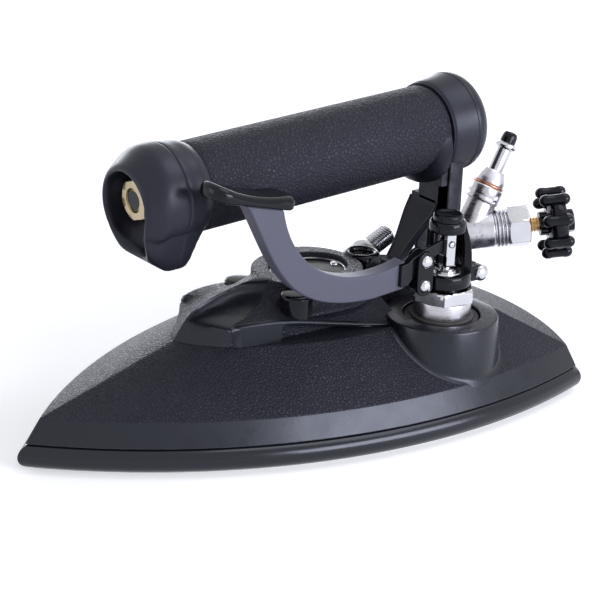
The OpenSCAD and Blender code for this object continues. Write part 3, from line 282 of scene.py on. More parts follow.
def build_pebble_grain():
    """Leather-like grain of painted castings and rubber: small rounded bumps parted by creases."""
    tree, g_in, g_out = group_start(
        "pebble_grain", [("Scale", "NodeSocketFloat", 900.0), ("Wander", "NodeSocketFloat", 0.35),
                         ("Crease", "NodeSocketFloat", 0.22)],
        [("Height", "NodeSocketFloat"), ("Creases", "NodeSocketFloat")])
    where = tree.nodes.new("ShaderNodeTexCoord").outputs["Object"]
    bend = tree.nodes.new("ShaderNodeTexNoise")
    link(tree, where, bend.inputs["Vector"])
    link(tree, math_node(tree, "MULTIPLY", g_in.outputs["Scale"], 0.6), bend.inputs["Scale"])
    bend.inputs["Detail"].default_value = 2.0
    push = tree.nodes.new("ShaderNodeVectorMath")
    push.operation = "SCALE"
    link(tree, bend.outputs["Color"], push.inputs[0])
    link(tree, math_node(tree, "DIVIDE", g_in.outputs["Wander"], g_in.outputs["Scale"]), push.inputs["Scale"])
    moved = tree.nodes.new("ShaderNodeVectorMath")
    moved.operation = "ADD"
    link(tree, where, moved.inputs[0])
    link(tree, push.outputs[0], moved.inputs[1])
    cell = tree.nodes.new("ShaderNodeTexVoronoi")
    cell.feature = "DISTANCE_TO_EDGE"
    link(tree, moved.outputs[0], cell.inputs["Vector"])
    link(tree, g_in.outputs["Scale"], cell.inputs["Scale"])
    edge = span_node(tree, cell.outputs["Distance"], 0.0, g_in.outputs["Crease"])
    fine = noise_node(tree, where, math_node(tree, "MULTIPLY", g_in.outputs["Scale"], 2.3), 2.0)
    broad = noise_node(tree, where, math_node(tree, "MULTIPLY", g_in.outputs["Scale"], 0.35), 2.0)
    round_top = math_node(tree, "POWER", edge, 0.7)
    mix = math_node(tree, "ADD", math_node(tree, "MULTIPLY", round_top, 0.62), math_node(tree, "MULTIPLY", fine, 0.18))
    link(tree, math_node(tree, "ADD", mix, math_node(tree, "MULTIPLY", broad, 0.35)), g_out.inputs["Height"])
    link(tree, math_node(tree, "SUBTRACT", 1.0, edge), g_out.inputs["Creases"])
    return tree


def build_soft_mottle():
    """Slow patchy change over a surface, for colour and roughness."""
    tree, g_in, g_out = group_start(
        "soft_mottle", [("Scale", "NodeSocketFloat", 60.0), ("Low", "NodeSocketFloat", 0.0),
                        ("High", "NodeSocketFloat", 1.0)], [("Value", "NodeSocketFloat")])
    where = tree.nodes.new("ShaderNodeTexCoord").outputs["Object"]
    fac = noise_node(tree, where, g_in.outputs["Scale"], 4.0, 0.6)
    link(tree, span_node(tree, fac, 0.3, 0.7, g_in.outputs["Low"], g_in.outputs["High"]), g_out.inputs["Value"])
    return tree


def build_edge_wear_and_highlight():
    """Mask of the outer edges, broken up by noise, where a finish is made paler: wear from handling, and where the edge
    colour is bright, a painted highlight along the edge.
    """
    tree, g_in, g_out = group_start(
        "edge_wear_and_highlight", [("Start", "NodeSocketFloat", 0.52), ("End", "NodeSocketFloat", 0.6),
                     ("Scale", "NodeSocketFloat", 220.0)], [("Mask", "NodeSocketFloat")])
    sharp = tree.nodes.new("ShaderNodeNewGeometry").outputs["Pointiness"]
    where = tree.nodes.new("ShaderNodeTexCoord").outputs["Object"]
    edge = span_node(tree, sharp, g_in.outputs["Start"], g_in.outputs["End"])
    broken = span_node(tree, noise_node(tree, where, g_in.outputs["Scale"], 4.0, 0.65), 0.35, 0.65)
    link(tree, math_node(tree, "MULTIPLY", edge, broken, True), g_out.inputs["Mask"])
    return tree


def build_fine_lines():
    """Fine turned or brushed lines that run round an axis: noise squeezed along one direction."""
    tree, g_in, g_out = group_start(
        "fine_lines", [("Along", "NodeSocketVector", (60.0, 60.0, 6000.0)), ("Low", "NodeSocketFloat", 0.2),
                       ("High", "NodeSocketFloat", 0.4)],
        [("Value", "NodeSocketFloat"), ("Height", "NodeSocketFloat")])
    where = tree.nodes.new("ShaderNodeTexCoord").outputs["Object"]
    squeeze = tree.nodes.new("ShaderNodeVectorMath")
    squeeze.operation = "MULTIPLY"
    link(tree, where, squeeze.inputs[0])
    link(tree, g_in.outputs["Along"], squeeze.inputs[1])
    fac = noise_node(tree, squeeze.outputs[0], 1.0, 3.0, 0.6)
    link(tree, span_node(tree, fac, 0.3, 0.7, g_in.outputs["Low"], g_in.outputs["High"]), g_out.inputs["Value"])
    link(tree, fac, g_out.inputs["Height"])
    return tree


def build_cast_pits():
    """Uneven skin of a plated casting, with shallow pits."""
    tree, g_in, g_out = group_start("cast_pits", [("Scale", "NodeSocketFloat", 500.0)],
                                    [("Height", "NodeSocketFloat"), ("Pits", "NodeSocketFloat")])
    where = tree.nodes.new("ShaderNodeTexCoord").outputs["Object"]
    lumps = noise_node(tree, where, g_in.outputs["Scale"], 3.0, 0.55)
    dots = noise_node(tree, where, math_node(tree, "MULTIPLY", g_in.outputs["Scale"], 2.6), 1.0, 0.5)
    pit = span_node(tree, dots, 0.62, 0.72)
    link(tree, math_node(tree, "SUBTRACT", lumps, math_node(tree, "MULTIPLY", pit, 0.35)), g_out.inputs["Height"])
    link(tree, pit, g_out.inputs["Pits"])
    return tree


PEBBLE_GRAIN = build_pebble_grain()
SOFT_MOTTLE = build_soft_mottle()
EDGE_WEAR_AND_HIGHLIGHT = build_edge_wear_and_highlight()
FINE_LINES = build_fine_lines()
CAST_PITS = build_cast_pits()


def finish_start(name, rough, metal=0.0, coat=0.0, coat_rough=0.1, specular=0.5):
    mat = bpy.data.materials.new(name)
    mat.use_nodes = True
    tree = mat.node_tree
    shader = tree.nodes["Principled BSDF"]
    shader.inputs["Roughness"].default_value = rough
    shader.inputs["Metallic"].default_value = metal
    shader.inputs["Coat Weight"].default_value = coat
    shader.inputs["Coat Roughness"].default_value = coat_rough
    shader.inputs["Specular IOR Level"].default_value = specular
    if metal == 0.0:
        shader.inputs["Specular Tint"].default_value = (0.86, 0.88, 1.0, 1)
    return mat, tree, shader


def use_group(tree, group, **values):
    node = tree.nodes.new("ShaderNodeGroup")
    node.node_tree = group
    for label, v in values.items():
        node.inputs[label].default_value = v
    return node


def colour_mix(tree, fac, a, b):
    node = tree.nodes.new("ShaderNodeMix")
    node.data_type = "RGBA"
    link(tree, fac, node.inputs["Factor"])
    for sock, v in ((node.inputs["A"], a), (node.inputs["B"], b)):
        if isinstance(v, tuple):
            sock.default_value = (*v, 1.0)
        else:
            link(tree, v, sock)
    return node.outputs["Result"]


def bump(tree, shader, height, depth_mm, under=None):
    node = tree.nodes.new("ShaderNodeBump")
    node.inputs["Strength"].default_value = 1.0
    node.inputs["Distance"].default_value = depth_mm * MM
    link(tree, height, node.inputs["Height"])
    if under is not None:
        link(tree, under, node.inputs["Normal"])
    link(tree, node.outputs["Normal"], shader.inputs["Normal"])
    return node.outputs["Normal"]


def grained(name, dark, light, rough, scale, depth, wander=0.4, crease=0.3, specular=0.5):
    """Black skin with pebble grain; the grain's tops are painted paler, a painted highlight for the bright specks the
    light makes on them.
    """
    mat, tree, shader = finish_start(name, rough, specular=specular)
    grain = use_group(tree, PEBBLE_GRAIN, Scale=scale, Wander=wander, Crease=crease)
    patch = use_group(tree, SOFT_MOTTLE, Scale=45.0, Low=0.0, High=0.5)
    fac = math_node(tree, "MULTIPLY", grain.outputs["Height"], 0.8, True)
    # grain tops mixed towards the paler colour: a painted highlight
    base = colour_mix(tree, fac, dark, light)
    link(tree, colour_mix(tree, patch.outputs["Value"], base, dark), shader.inputs["Base Color"])
    spots = span_node(tree, grain.outputs["Creases"], 0.0, 1.0, rough, min(1.0, rough + 0.25))
    link(tree, spots, shader.inputs["Roughness"])
    bump(tree, shader, grain.outputs["Height"], depth)
    return mat


def enamel(name, colour, wear_and_highlight_colour, rough, coat=0.0, specular=0.5, orange_peel=0.02, start=0.53, end=0.62):
    """Smooth painted or moulded surface with slight waviness; its edges are paler, as wear and, where the edge colour
    is bright, as a painted highlight.
    """
    mat, tree, shader = finish_start(name, rough, coat=coat, specular=specular)
    mask = use_group(tree, EDGE_WEAR_AND_HIGHLIGHT, Start=start, End=end)
    # edges mixed towards the paler edge colour: wear, and on bright-edged finishes a painted highlight
    link(tree, colour_mix(tree, mask.outputs["Mask"], colour, wear_and_highlight_colour), shader.inputs["Base Color"])
    patch = use_group(tree, SOFT_MOTTLE, Scale=90.0, Low=max(0.02, rough - 0.05), High=rough + 0.06)
    link(tree, patch.outputs["Value"], shader.inputs["Roughness"])
    where = tree.nodes.new("ShaderNodeTexCoord").outputs["Object"]
    bump(tree, shader, noise_node(tree, where, 700.0, 2.0), orange_peel)
    return mat


def plated(name, colour, rough, lines=None, wave=0.004):
    """Chrome or nickel plate; lines gives the squeeze of its turned lines."""
    mat, tree, shader = finish_start(name, rough, metal=1.0)
    patch = use_group(tree, SOFT_MOTTLE, Scale=150.0, Low=0.0, High=0.35)
    dull = tuple(c * 0.72 for c in colour)
    link(tree, colour_mix(tree, patch.outputs["Value"], colour, dull), shader.inputs["Base Color"])
    if lines:
        turned = use_group(tree, FINE_LINES, Along=lines, Low=rough * 0.75, High=rough * 1.35)
        link(tree, turned.outputs["Value"], shader.inputs["Roughness"])
        bump(tree, shader, turned.outputs["Height"], wave)
    else:
        smear = use_group(tree, SOFT_MOTTLE, Scale=260.0, Low=rough * 0.7, High=rough * 1.4)
        link(tree, smear.outputs["Value"], shader.inputs["Roughness"])
        where = tree.nodes.new("ShaderNodeTexCoord").outputs["Object"]
        bump(tree, shader, noise_node(tree, where, 900.0, 2.0), wave)
    return mat


def cast_plate(name, colour, dark, rough, scale, depth):
    """Rough casting under bright plate."""
    mat, tree, shader = finish_start(name, rough, metal=1.0)
    skin = use_group(tree, CAST_PITS, Scale=scale)
    link(tree, colour_mix(tree, skin.outputs["Pits"], colour, dark), shader.inputs["Base Color"])
    patch = use_group(tree, SOFT_MOTTLE, Scale=300.0, Low=rough * 0.7, High=rough * 1.5)
    link(tree, patch.outputs["Value"], shader.inputs["Roughness"])
    bump(tree, shader, skin.outputs["Height"], depth)
    return mat


# The paler second colour of the grained paint and the grip rubber is a painted highlight on the grain's tops.
GRAIN_PAINT = grained("grained_paint", (0.004, 0.004, 0.007), (0.024, 0.025, 0.037), 0.36, 900.0, 0.3, specular=0.27)
GRIP_RUBBER = grained("grip_rubber", (0.005, 0.005, 0.008), (0.024, 0.025, 0.037), 0.44, 740.0, 0.32, crease=0.34,
                      specular=0.27)
# The smooth paint's bright edge colour (0.2, 0.2, 0.25) is a painted highlight along its convex edges.
SMOOTH_PAINT = enamel("smooth_paint", (0.007, 0.008, 0.012), (0.2, 0.2, 0.25), 0.28, specular=0.42)
BEAD_PAINT = enamel("bead_paint", (0.007, 0.008, 0.011), (0.04, 0.04, 0.052), 0.2, coat=0.15, specular=0.35)
# The lever is satin black; its lavender-grey base colour is painted light, standing for its lit side.
LIT_LEVER_PAINT = enamel("lever_paint_lit", (0.1, 0.101, 0.132), (0.16, 0.16, 0.2), 0.46, specular=0.2)
CAP_PLASTIC = enamel("cap_plastic", (0.014, 0.0145, 0.022), (0.05, 0.051, 0.07), 0.36, specular=0.32)
GLOSS_BLACK = enamel("gloss_black", (0.004, 0.004, 0.006), (0.02, 0.02, 0.027), 0.12, coat=0.1, specular=0.2,
                     orange_peel=0.006)
CAST_BLACK = enamel("cast_black", (0.008, 0.0085, 0.013), (0.06, 0.06, 0.075), 0.36, specular=0.22, orange_peel=0.05)
PLATE_BLACK = enamel("plate_black", (0.005, 0.005, 0.008), (0.02, 0.02, 0.03), 0.2, specular=0.15,
                     orange_peel=0.004)
SEALING = enamel("sealing", (0.05, 0.045, 0.04), (0.08, 0.075, 0.07), 0.8)
CHROME = plated("chrome", (0.62, 0.62, 0.66), 0.12)
SATIN_NICKEL = plated("satin_nickel", (0.52, 0.51, 0.54), 0.27, (220.0, 220.0, 5200.0), 0.01)
BRIGHT_STEEL = plated("bright_steel", (0.5, 0.5, 0.53), 0.25)
SOLE_METAL = plated("sole_metal", (0.58, 0.58, 0.6), 0.24, (30.0, 2600.0, 2600.0), 0.006)
ZINC = plated("yellow_zinc", (0.5, 0.42, 0.28), 0.28)
BRASS = plated("turned_brass", (0.6, 0.42, 0.2), 0.3, (900.0, 900.0, 900.0), 0.02)
COPPER = plated("copper_ring", (0.55, 0.27, 0.18), 0.34)
CAST_NICKEL = cast_plate("cast_nickel", (0.52, 0.52, 0.56), (0.3, 0.3, 0.34), 0.3, 260.0, 0.07)
COLLAR_NICKEL = plated("hatched_nickel", (0.56, 0.55, 0.61), 0.34, (3800.0, 200.0, 3800.0), 0.03)
THREAD_NICKEL = plated("thread_nickel", (0.5, 0.5, 0.54), 0.22)

# ---------------------------------------------------------------- sizes shared with the solids, in millimetres
NOSE_X, HEEL_R, SIDE_R, BASE_W = -110.0, 111.0, 210.0, 124.0
SIDE_OFF = SIDE_R - BASE_W / 2
SIDE_CX = NOSE_X + math.sqrt(SIDE_R ** 2 - SIDE_OFF ** 2)
HEEL_CX = 110.0 - HEEL_R
VALVE = (42.0, -34.5)
PIVOT_X, LOW_Z, HIGH_Z = 29.5, 49.5, 58.5
TONGUE_Y = -35.5
TILT = math.radians(2.75)
AXIS_DIR = (math.cos(TILT), 0.0, math.sin(TILT))
FIT = (84.7, 0.0, 47.5)
YAW, LIFT = math.radians(33.6), math.radians(7.4)
VALVE_DIR = (math.cos(LIFT) * math.cos(YAW), -math.cos(LIFT) * math.sin(YAW), math.sin(LIFT))
VALVE_DOWN = (math.sin(LIFT) * math.cos(YAW), -math.sin(LIFT) * math.sin(YAW), -math.cos(LIFT))
RISE = math.radians(62)
HOSE_DIR = (math.cos(RISE), 0.0, math.sin(RISE))
DRAIN_DIR = (math.cos(math.radians(24.8)), 0.0, math.sin(math.radians(24.8)))


def half_at(d, x):
    return math.sqrt(max(0.0, (SIDE_R - d) ** 2 - (x - SIDE_CX) ** 2)) - SIDE_OFF


def corner_x(d):
    lo, hi = 0.0, 110.0 - d
    for _ in range(50):
        m = (lo + hi) / 2
        if (m - HEEL_CX) ** 2 + half_at(d, m) ** 2 > (HEEL_R - d) ** 2:
            hi = m
        else:
            lo = m
    return lo


SIDE_STEPS, HEEL_STEPS = 66, 22


def half_ring(d, z):
    """Half of the base's outline at an inset, from the nose round to the heel."""
    x0, x1 = SIDE_CX - math.sqrt((SIDE_R - d) ** 2 - SIDE_OFF ** 2), corner_x(d)
    y1 = half_at(d, x1)
    a1 = math.atan2(y1, x1 - HEEL_CX)
    ring = []
    for i in range(SIDE_STEPS + 1):
        x = x0 + (x1 - x0) * (i / SIDE_STEPS) ** 1.3
        ring.append((x, 0.0 if i == 0 else half_at(d, x), z))
    for i in range(1, HEEL_STEPS + 1):
        a = a1 * (1 - i / HEEL_STEPS)
        ring.append((HEEL_CX + (HEEL_R - d) * math.cos(a), (HEEL_R - d) * math.sin(a), z))
    return ring


def top_half(x):
    if x < 30:
        return 32 * max(0.0, 1 - ((x - 30) / 79.5) ** 2) ** 0.7
    return 32 + 3 * ((x - 30) / 38) ** 2


def top_ring(d, z):
    """Half of the outline of the cover's flat top, drawn in by d."""
    ring = []
    for i in range(SIDE_STEPS + 1):
        k = i / SIDE_STEPS
        x = -49.5 + 115.5 * k ** 1.3
        ring.append((x + (1.6 * d if i == 0 else 1.2 * d * (1 - 2 * k)), max(0.0, top_half(x) - d * min(1, 3 * k)), z))
    for i in range(1, HEEL_STEPS + 1):
        k = i / HEEL_STEPS
        ring.append((66 + 2 * math.sin(math.pi / 2 * k) - d, (35 - d) * (1 - k), z))
    return ring


def whole(half):
    return half + [(x, -y, z) for x, y, z in half[-2:0:-1]]


def mix_rings(a, b, t, lift=0.0):
    return [tuple(p[c] * (1 - t) + q[c] * t + (lift if c == 2 else 0) for c in range(3)) for p, q in zip(a, b)]


# ---------------------------------------------------------------- base and cover
BEAD_R = 4.35
bead = Shell()
rows = [whole(half_ring(9.0, 1.6)), whole(half_ring(BEAD_R + 0.6, 0.8))]
for a in spread(-90, 90, 18):
    c, s = math.cos(math.radians(a)), math.sin(math.radians(a))
    rows.append(whole(half_ring(BEAD_R * (1 - c), 0.8 + BEAD_R + BEAD_R * s)))
rows.append(whole(half_ring(9.0, 9.45)))
bead.rings(rows, around=True)
for x, y, r, top in ((42, -34.5, 13.4, 35.3), (33, 0, 8.5, 40), (76, 5.78, 7.6, 36), (47, 16, 7, 35)):
    bead.where = place((x, y, 0), (0, 0, 1))
    bead.lathe([(0, 14), (r, 14), (r, top - 0.4), (r - 0.4, top), (0, top)], finish=1)
bead.where = Matrix.Identity(4)
bead.rings([whole(half_ring(14, 6.9)), whole(half_ring(14, 14))], finish=1)
bead.make("base_bead", "iron", [BEAD_PAINT, CAST_BLACK], ["base_casting"], "bead_black", bevel=0.25, angle=35)

foot, band, crease = whole(half_ring(2, 9.5)), whole(half_ring(6, 17.5)), whole(top_ring(0, 33))
shell = Shell()
rows = [mix_rings(band, crease, 0.8, -4.5), whole(half_ring(9.2, 16)), whole(half_ring(5.2, 9.5)), foot]
marks = [1, 1, 1]
for t in (0.35, 0.7, 1.0):
    rows.append(mix_rings(foot, band, t))
    marks.append(1)
for t in (0.25, 0.5, 0.75, 1.0):
    rows.append(mix_rings(band, crease, t))
    marks.append(0)
shell.rings(rows, marks, cap_finish=0)
cover = shell.make("grained_cover", "iron", [GRAIN_PAINT, SMOOTH_PAINT], ["cover"], "grain_black", bevel=0.45, angle=9,
                   segments=3)

# the valve's boss with a rolled foot that follows the slope
boss = Shell(place((VALVE[0], VALVE[1], 0), (0, 0, 1)))
STEPS = 120
BOSS_TOP, BOSS_FOOT = 20.0, 21.5


def slope_z(x, y):
    """Height of the cover above a point: band, slope or flat top."""
    y = abs(y)
    best = None
    for i in range(len(band) // 2):
        for low, high in ((foot, band), (band, crease)):
            a, b, c, e = (Vector(q) for q in (low[i], high[i], low[i + 1], high[i + 1]))
            for tri in ((a, b, c), (b, e, c)):
                d = (tri[1].y - tri[2].y) * (tri[0].x - tri[2].x) + (tri[2].x - tri[1].x) * (tri[0].y - tri[2].y)
                if abs(d) < 1e-9:
                    continue
                u = ((tri[1].y - tri[2].y) * (x - tri[2].x) + (tri[2].x - tri[1].x) * (y - tri[2].y)) / d
                v = ((tri[2].y - tri[0].y) * (x - tri[2].x) + (tri[0].x - tri[2].x) * (y - tri[2].y)) / d
                if u >= -1e-6 and v >= -1e-6 and u + v <= 1 + 1e-6:
                    z = u * tri[0].z + v * tri[1].z + (1 - u - v) * tri[2].z
                    best = z if best is None else max(best, z)
    if best is not None:
        return best
    return 33.0 if x < 68 and y < top_half(x) else 9.5


def boss_ring(r_off, z_of):
    ring = []
    for i in range(STEPS):
        a = math.tau * i / STEPS
        c, s = math.cos(a), math.sin(a)
        z = 33.0
        for _ in range(8):
            r = BOSS_TOP + (36 - z) * (BOSS_FOOT - BOSS_TOP) / 20
            z = slope_z(VALVE[0] + r * c, VALVE[1] + r * s)
        r = BOSS_TOP + (36 - z) * (BOSS_FOOT - BOSS_TOP) / 20
        if z_of == "wall":
            ring.append(((r - 0.06 * r_off) * c, (r - 0.06 * r_off) * s, min(35.2, z + r_off)))
        else:
            rr = r + r_off
            ring.append((rr * c, rr * s, slope_z(VALVE[0] + rr * c, VALVE[1] + rr * s) + z_of))
    return ring


def circle(r, z, n=STEPS):
    return [(r * math.cos(math.tau * i / n), r * math.sin(math.tau * i / n), z) for i in range(n)]


boss.rings([circle(13.7, 22), circle(13.7, 35.7), circle(14.0, 36), circle(19.2, 36), circle(19.8, 35.75),
            circle(20.05, 35.2), boss_ring(1.6, "wall"), boss_ring(0.55, "wall"), boss_ring(0.5, 0.12),
            boss_ring(1.3, -0.02), boss_ring(1.4, -1.5)], around=True, finish=0)
boss.make("valve_boss", "iron", [SMOOTH_PAINT], [], "grain_black", bevel=0.12, angle=40)

# ---------------------------------------------------------------- turret with its prow
RIDGE = [(33, -49), (36, -46.8), (39, -44.6), (41.3, -42.5), (43, -39.5), (45.5, -33.5), (48, -22), (49.2, -12.4)]
CORNER_X = [(33, -36), (36, -36), (39, -36), (41.3, -26), (43, -20), (45.5, -15.5), (48, -13.2), (49.2, -11.6)]
CORNER_Y = [(33, 15), (36, 15), (39, 14.8), (41.3, 11.5), (43, 9), (45.5, 6), (48, 4.5), (49.2, 4.2)]
BULGE = [(33, 2.2), (36, 1), (39, -1), (41.3, -2.2), (43, -3), (45.5, -3.2), (48, -1.2), (49.2, 0.3)]
COVE, RIM = 16, 40


def prow_half(z, draw=0.0, level=None):
    level = z if level is None else level
    ax, cx, cy, bulge = (between(t, level) for t in (RIDGE, CORNER_X, CORNER_Y, BULGE))
    a, c = Vector((ax + draw, 0)), Vector((cx + 0.6 * draw, cy - 0.6 * draw))
    step = (c - a).normalized()
    ctrl = (a + c) / 2 + Vector((-step.y, step.x)) * bulge
    flare = 0.6 * (49.2 - level) / 16 + 3.4 * math.exp(-max(0.0, level - 40.8) / 0.85) * (level > 39.5)
    flare -= draw
    ring = []
    for i in range(COVE + 1):
        t = i / COVE
        p = a * (1 - t) ** 2 + ctrl * 2 * t * (1 - t) + c * t * t
        ring.append((p.x, p.y, z))
    mid, rear = 11.0, 17.0
    for i in range(1, RIM + 1):
        t = i / RIM
        x = c.x + (mid - c.x) * t
        y = max(c.y + (18.5 + flare - c.y) * math.sin(math.pi / 2 * t),
                (18.5 + flare) * math.sqrt(max(0.0, 1 - ((mid - x) / 24) ** 2)))
        ring.append((x, y, z))
    for i in range(1, RIM + 1):
        a2 = math.pi / 2 * (1 - i / RIM)
        ring.append((mid + (rear + flare) * math.cos(a2), (18.5 + flare) * math.sin(a2), z))
    return ring


def prow_marks(count):
    """Finish of each face round a ring: the cove on the lever's side is smooth, the rest is grained."""
    side = [1] * COVE + [0] * (count // 2 - COVE)
    return [0] * (count // 2) + side[::-1]


turret = Shell()
levels = spread(33, 39, 5) + spread(39.4, 41.3, 5) + spread(41.7, 45.5, 9) + spread(46, 48.7, 6)
rings = [whole(prow_half(z)) for z in levels] + [whole(prow_half(49.0, 0.12, 49.0)), whole(prow_half(49.2, 0.45, 49.2))]
n_ring = len(rings[0])
PLATE_X, PLATE_RX, PLATE_RY = 8.5, 15.0, 12.0


def oval_ring(grow, z):
    """The nameplate's oval with as many points as a ring of the turret, matched by direction."""
    ring = []
    for x, y, _ in rings[-1]:
        a = math.atan2(y / PLATE_RY, (x - PLATE_X) / PLATE_RX)
        ring.append((PLATE_X + (PLATE_RX + grow) * math.cos(a), (PLATE_RY + grow) * math.sin(a), z))
    return ring


points = [p for r in rings for p in r]
faces, marks = [], []
face_marks = prow_marks(n_ring)
for k in range(len(rings) - 1):
    for i in range(n_ring):
        j = (i + 1) % n_ring
        faces.append([k * n_ring + i, k * n_ring + j, (k + 1) * n_ring + j, (k + 1) * n_ring + i])
        marks.append(face_marks[i])
top = [oval_ring(0.7, 49.2), oval_ring(0.15, 48.9), oval_ring(0.0, 48.3), oval_ring(0.0, 46.6)]
for ring in top:
    base = len(points)
    points += ring
    for i in range(n_ring):
        j = (i + 1) % n_ring
        faces.append([base - n_ring + i, base - n_ring + j, base + j, base + i])
        marks.append(0)
faces.append([len(points) - n_ring + i for i in range(n_ring)])
marks.append(1)
faces.append(list(range(n_ring))[::-1])
marks.append(1)
turret.add(points, faces, marks)

# side decks: section from the outer edge to the turret's wall, with a smooth rounded lip
DECK = [(-35.6, 14.6, 39.0, 12, 38.2, 33), (-34.6, 16.2, 40.2, 11.5, 39.0, 33), (-33.2, 17.4, 40.8, 11, 39.8, 33),
        (-30, 18.4, 41.1, 9.5, 40.5, 33), (-27, 19.3, 41.2, 8, 40.9, 33), (-22, 20.3, 41.1, 8, 41.5, 33),
        (-18.3, 21, 40.8, 8, 41.7, 33), (-17.7, 21.1, 40.7, 8, 41.7, 38.7), (-12, 22.2, 40, 10, 41.7, 38.1),
        (-4, 23.7, 38.6, 12, 41.6, 36.8), (4, 25, 37, 14, 41.4, 35.3), (12, 26.8, 35.6, 15, 41.2, 34.0),
        (19, 28.6, 34.6, 15, 41.1, 33.3), (28, 30.6, 33.7, 13, 41, 32.9)]


def deck_stations():
    fine = []
    for p, q in zip(DECK, DECK[1:]):
        n = 1 if q[0] - p[0] < 1.5 else max(2, int((q[0] - p[0]) / 1.5))
        fine += [tuple(p[c] + (q[c] - p[c]) * k / n for c in range(6)) for k in range(n)]
    return fine + [DECK[-1]]


for side in (1, -1):
    sections = []
    for x, yo, zo, yi, zi, under in deck_stations():
        lip = min(0.9, (zo - under) * 0.45)
        sag = (zi - zo) * 0.5 - 0.35
        sections.append([(x, side * y, z) for y, z in (
            (yo - 0.5, under), (yi, min(under, zi - 2)), (yi, zi), ((yi + yo) / 2, zo + sag + 0.2),
            (yo - 1.5, zo + 0.12), (yo - 0.9, zo + 0.05), (yo - 0.3, zo - 0.22 * lip), (yo, zo - 0.75 * lip),
            (yo - 0.05, zo - 1.3 * lip))])
    n = len(sections[0])
    deck_points = [p for s in sections for p in s]
    deck_faces, deck_marks = [], []
    for k in range(len(sections) - 1):
        for i in range(n):
            j = (i + 1) % n
            deck_faces.append([k * n + i, k * n + j, (k + 1) * n + j, (k + 1) * n + i])
            deck_marks.append(0 if i in (2, 3) else 1)
    for end in (list(range(n))[::-1], [len(deck_points) - n + i for i in range(n)]):
        deck_faces.append(end)
        deck_marks.append(1)
    turret.add(deck_points, deck_faces, deck_marks)

# ledge behind the turret, with a round rear end
outline = [(20, -13.5)] + arc(46.5, 0, 13.5, -90, 90, 28) + [(20, 13.5)]
turret.rings([[(x, y, z) for x, y in outline] for z in (33, 40.3)]
             + [[(x - 0.5 * (x > 20), y * 0.965, 41) for x, y in outline]], 0)
turret.make("turret_shell", "iron", [GRAIN_PAINT, SMOOTH_PAINT], ["turret_cover"], "grain_black", bevel=0.5, angle=24,
            segments=3)

# ---------------------------------------------------------------- what stands on the cover
for side, label, top in ((-1, "near", 48.05), (1, "far", 43.0)):
    cap = Shell(place((-9, 16 * side, 0), (0, 0, 1)))
    cap.lathe([(0, 39.3), (5.7, 39.3), (5.7, top - 1.85)] + arc(4.3, top - 1.65, 1.4, 0, 80, 8)
              + [(3.0, top - 0.1), (1.5, top - 0.03), (0, top)], 64)
    cap.make("screw_cap_" + label, "iron", GLOSS_BLACK, ["screw_caps"] if side < 0 else [], "gloss_black", angle=40)


def hexagon(af, turn=0.0):
    r = af / 2 / math.cos(math.radians(30))
    return [(r * math.cos(math.radians(60 * k + turn)), r * math.sin(math.radians(60 * k + turn))) for k in range(6)]


def hex_solid(shell, af, z0, z1, turn=0.0, bore=0.0, chamfer=0.06, both=False, steps=20, finish=0):
    """Hexagon prism whose corners are cut by the cone of a turned chamfer, with an optional bore."""
    n = 6 * steps
    r_in = af / 2
    r_out = r_in / math.cos(math.radians(30))

    def ring(z, limit):
        out = []
        for i in range(n):
            a = math.tau * i / n
            local = (math.degrees(a) - turn) % 60 - 30
            r = min(r_in / math.cos(math.radians(local)), limit)
            out.append((r * math.cos(a), r * math.sin(a), z))
        return out

    h = (z1 - z0)
    drop = (r_out - r_in) * 0.62
    rows = []
    if both:
        rows += [ring(z0, r_in * (1 - chamfer * 0.4))]
        rows += [ring(z0 + drop * t, r_in + (r_out - r_in) * t) for t in (0.33, 0.66, 1.0)]
    else:
        rows += [ring(z0, r_out)]
    rows += [ring(z0 + h * 0.5, r_out)]
    rows += [ring(z1 - drop * t, r_in + (r_out - r_in) * t) for t in (1.0, 0.66, 0.33)]
    rows += [ring(z1, r_in * (1 - chamfer * 0.4))]
    if bore:
        inner = [[(bore * math.cos(math.tau * i / n), bore * math.sin(math.tau * i / n), z) for i in range(n)]
                 for z in (z1, z0)]
        shell.rings(rows + inner, finish, around=True)
    else:
        shell.rings(rows, finish)


plug = Shell(place((33, 0, 0), (0, 0, 1)))
PLUG_N = 120


def plug_ring(z, limit, flat=6.5):
    out = []
    for i in range(PLUG_N):
        a = math.tau * i / PLUG_N
        local = (math.degrees(a) - 8) % 60 - 30
        r = min(flat / math.cos(math.radians(local)), limit)
        out.append((r * math.cos(a), r * math.sin(a), z))
    return out


plug.rings([plug_ring(40.8, 8), plug_ring(46.6, 8), plug_ring(47.4, 7.35), plug_ring(48.2, 6.9), plug_ring(48.9, 6.6),
            plug_ring(49.5, 6.2), plug_ring(49.9, 5.6), plug_ring(50.0, 5.1), plug_ring(49.7, 4.5), plug_ring(49.2, 4.15),
            plug_ring(48.0, 4.0), plug_ring(47.6, 3.7), plug_ring(47.6, 2.6), plug_ring(48.3, 2.3), plug_ring(48.4, 0.6)])
plug.make("centre_plug_head", "iron", GLOSS_BLACK, ["centre_plug"], "gloss_black", bevel=0.15, angle=28)

plate = Shell()
oval = [(PLATE_X + 14.8 * math.cos(math.tau * i / 96), 11.8 * math.sin(math.tau * i / 96)) for i in range(96)]


def oval_at(k, z):
    return [(PLATE_X + (x - PLATE_X) * k, y * k, z) for x, y in oval]


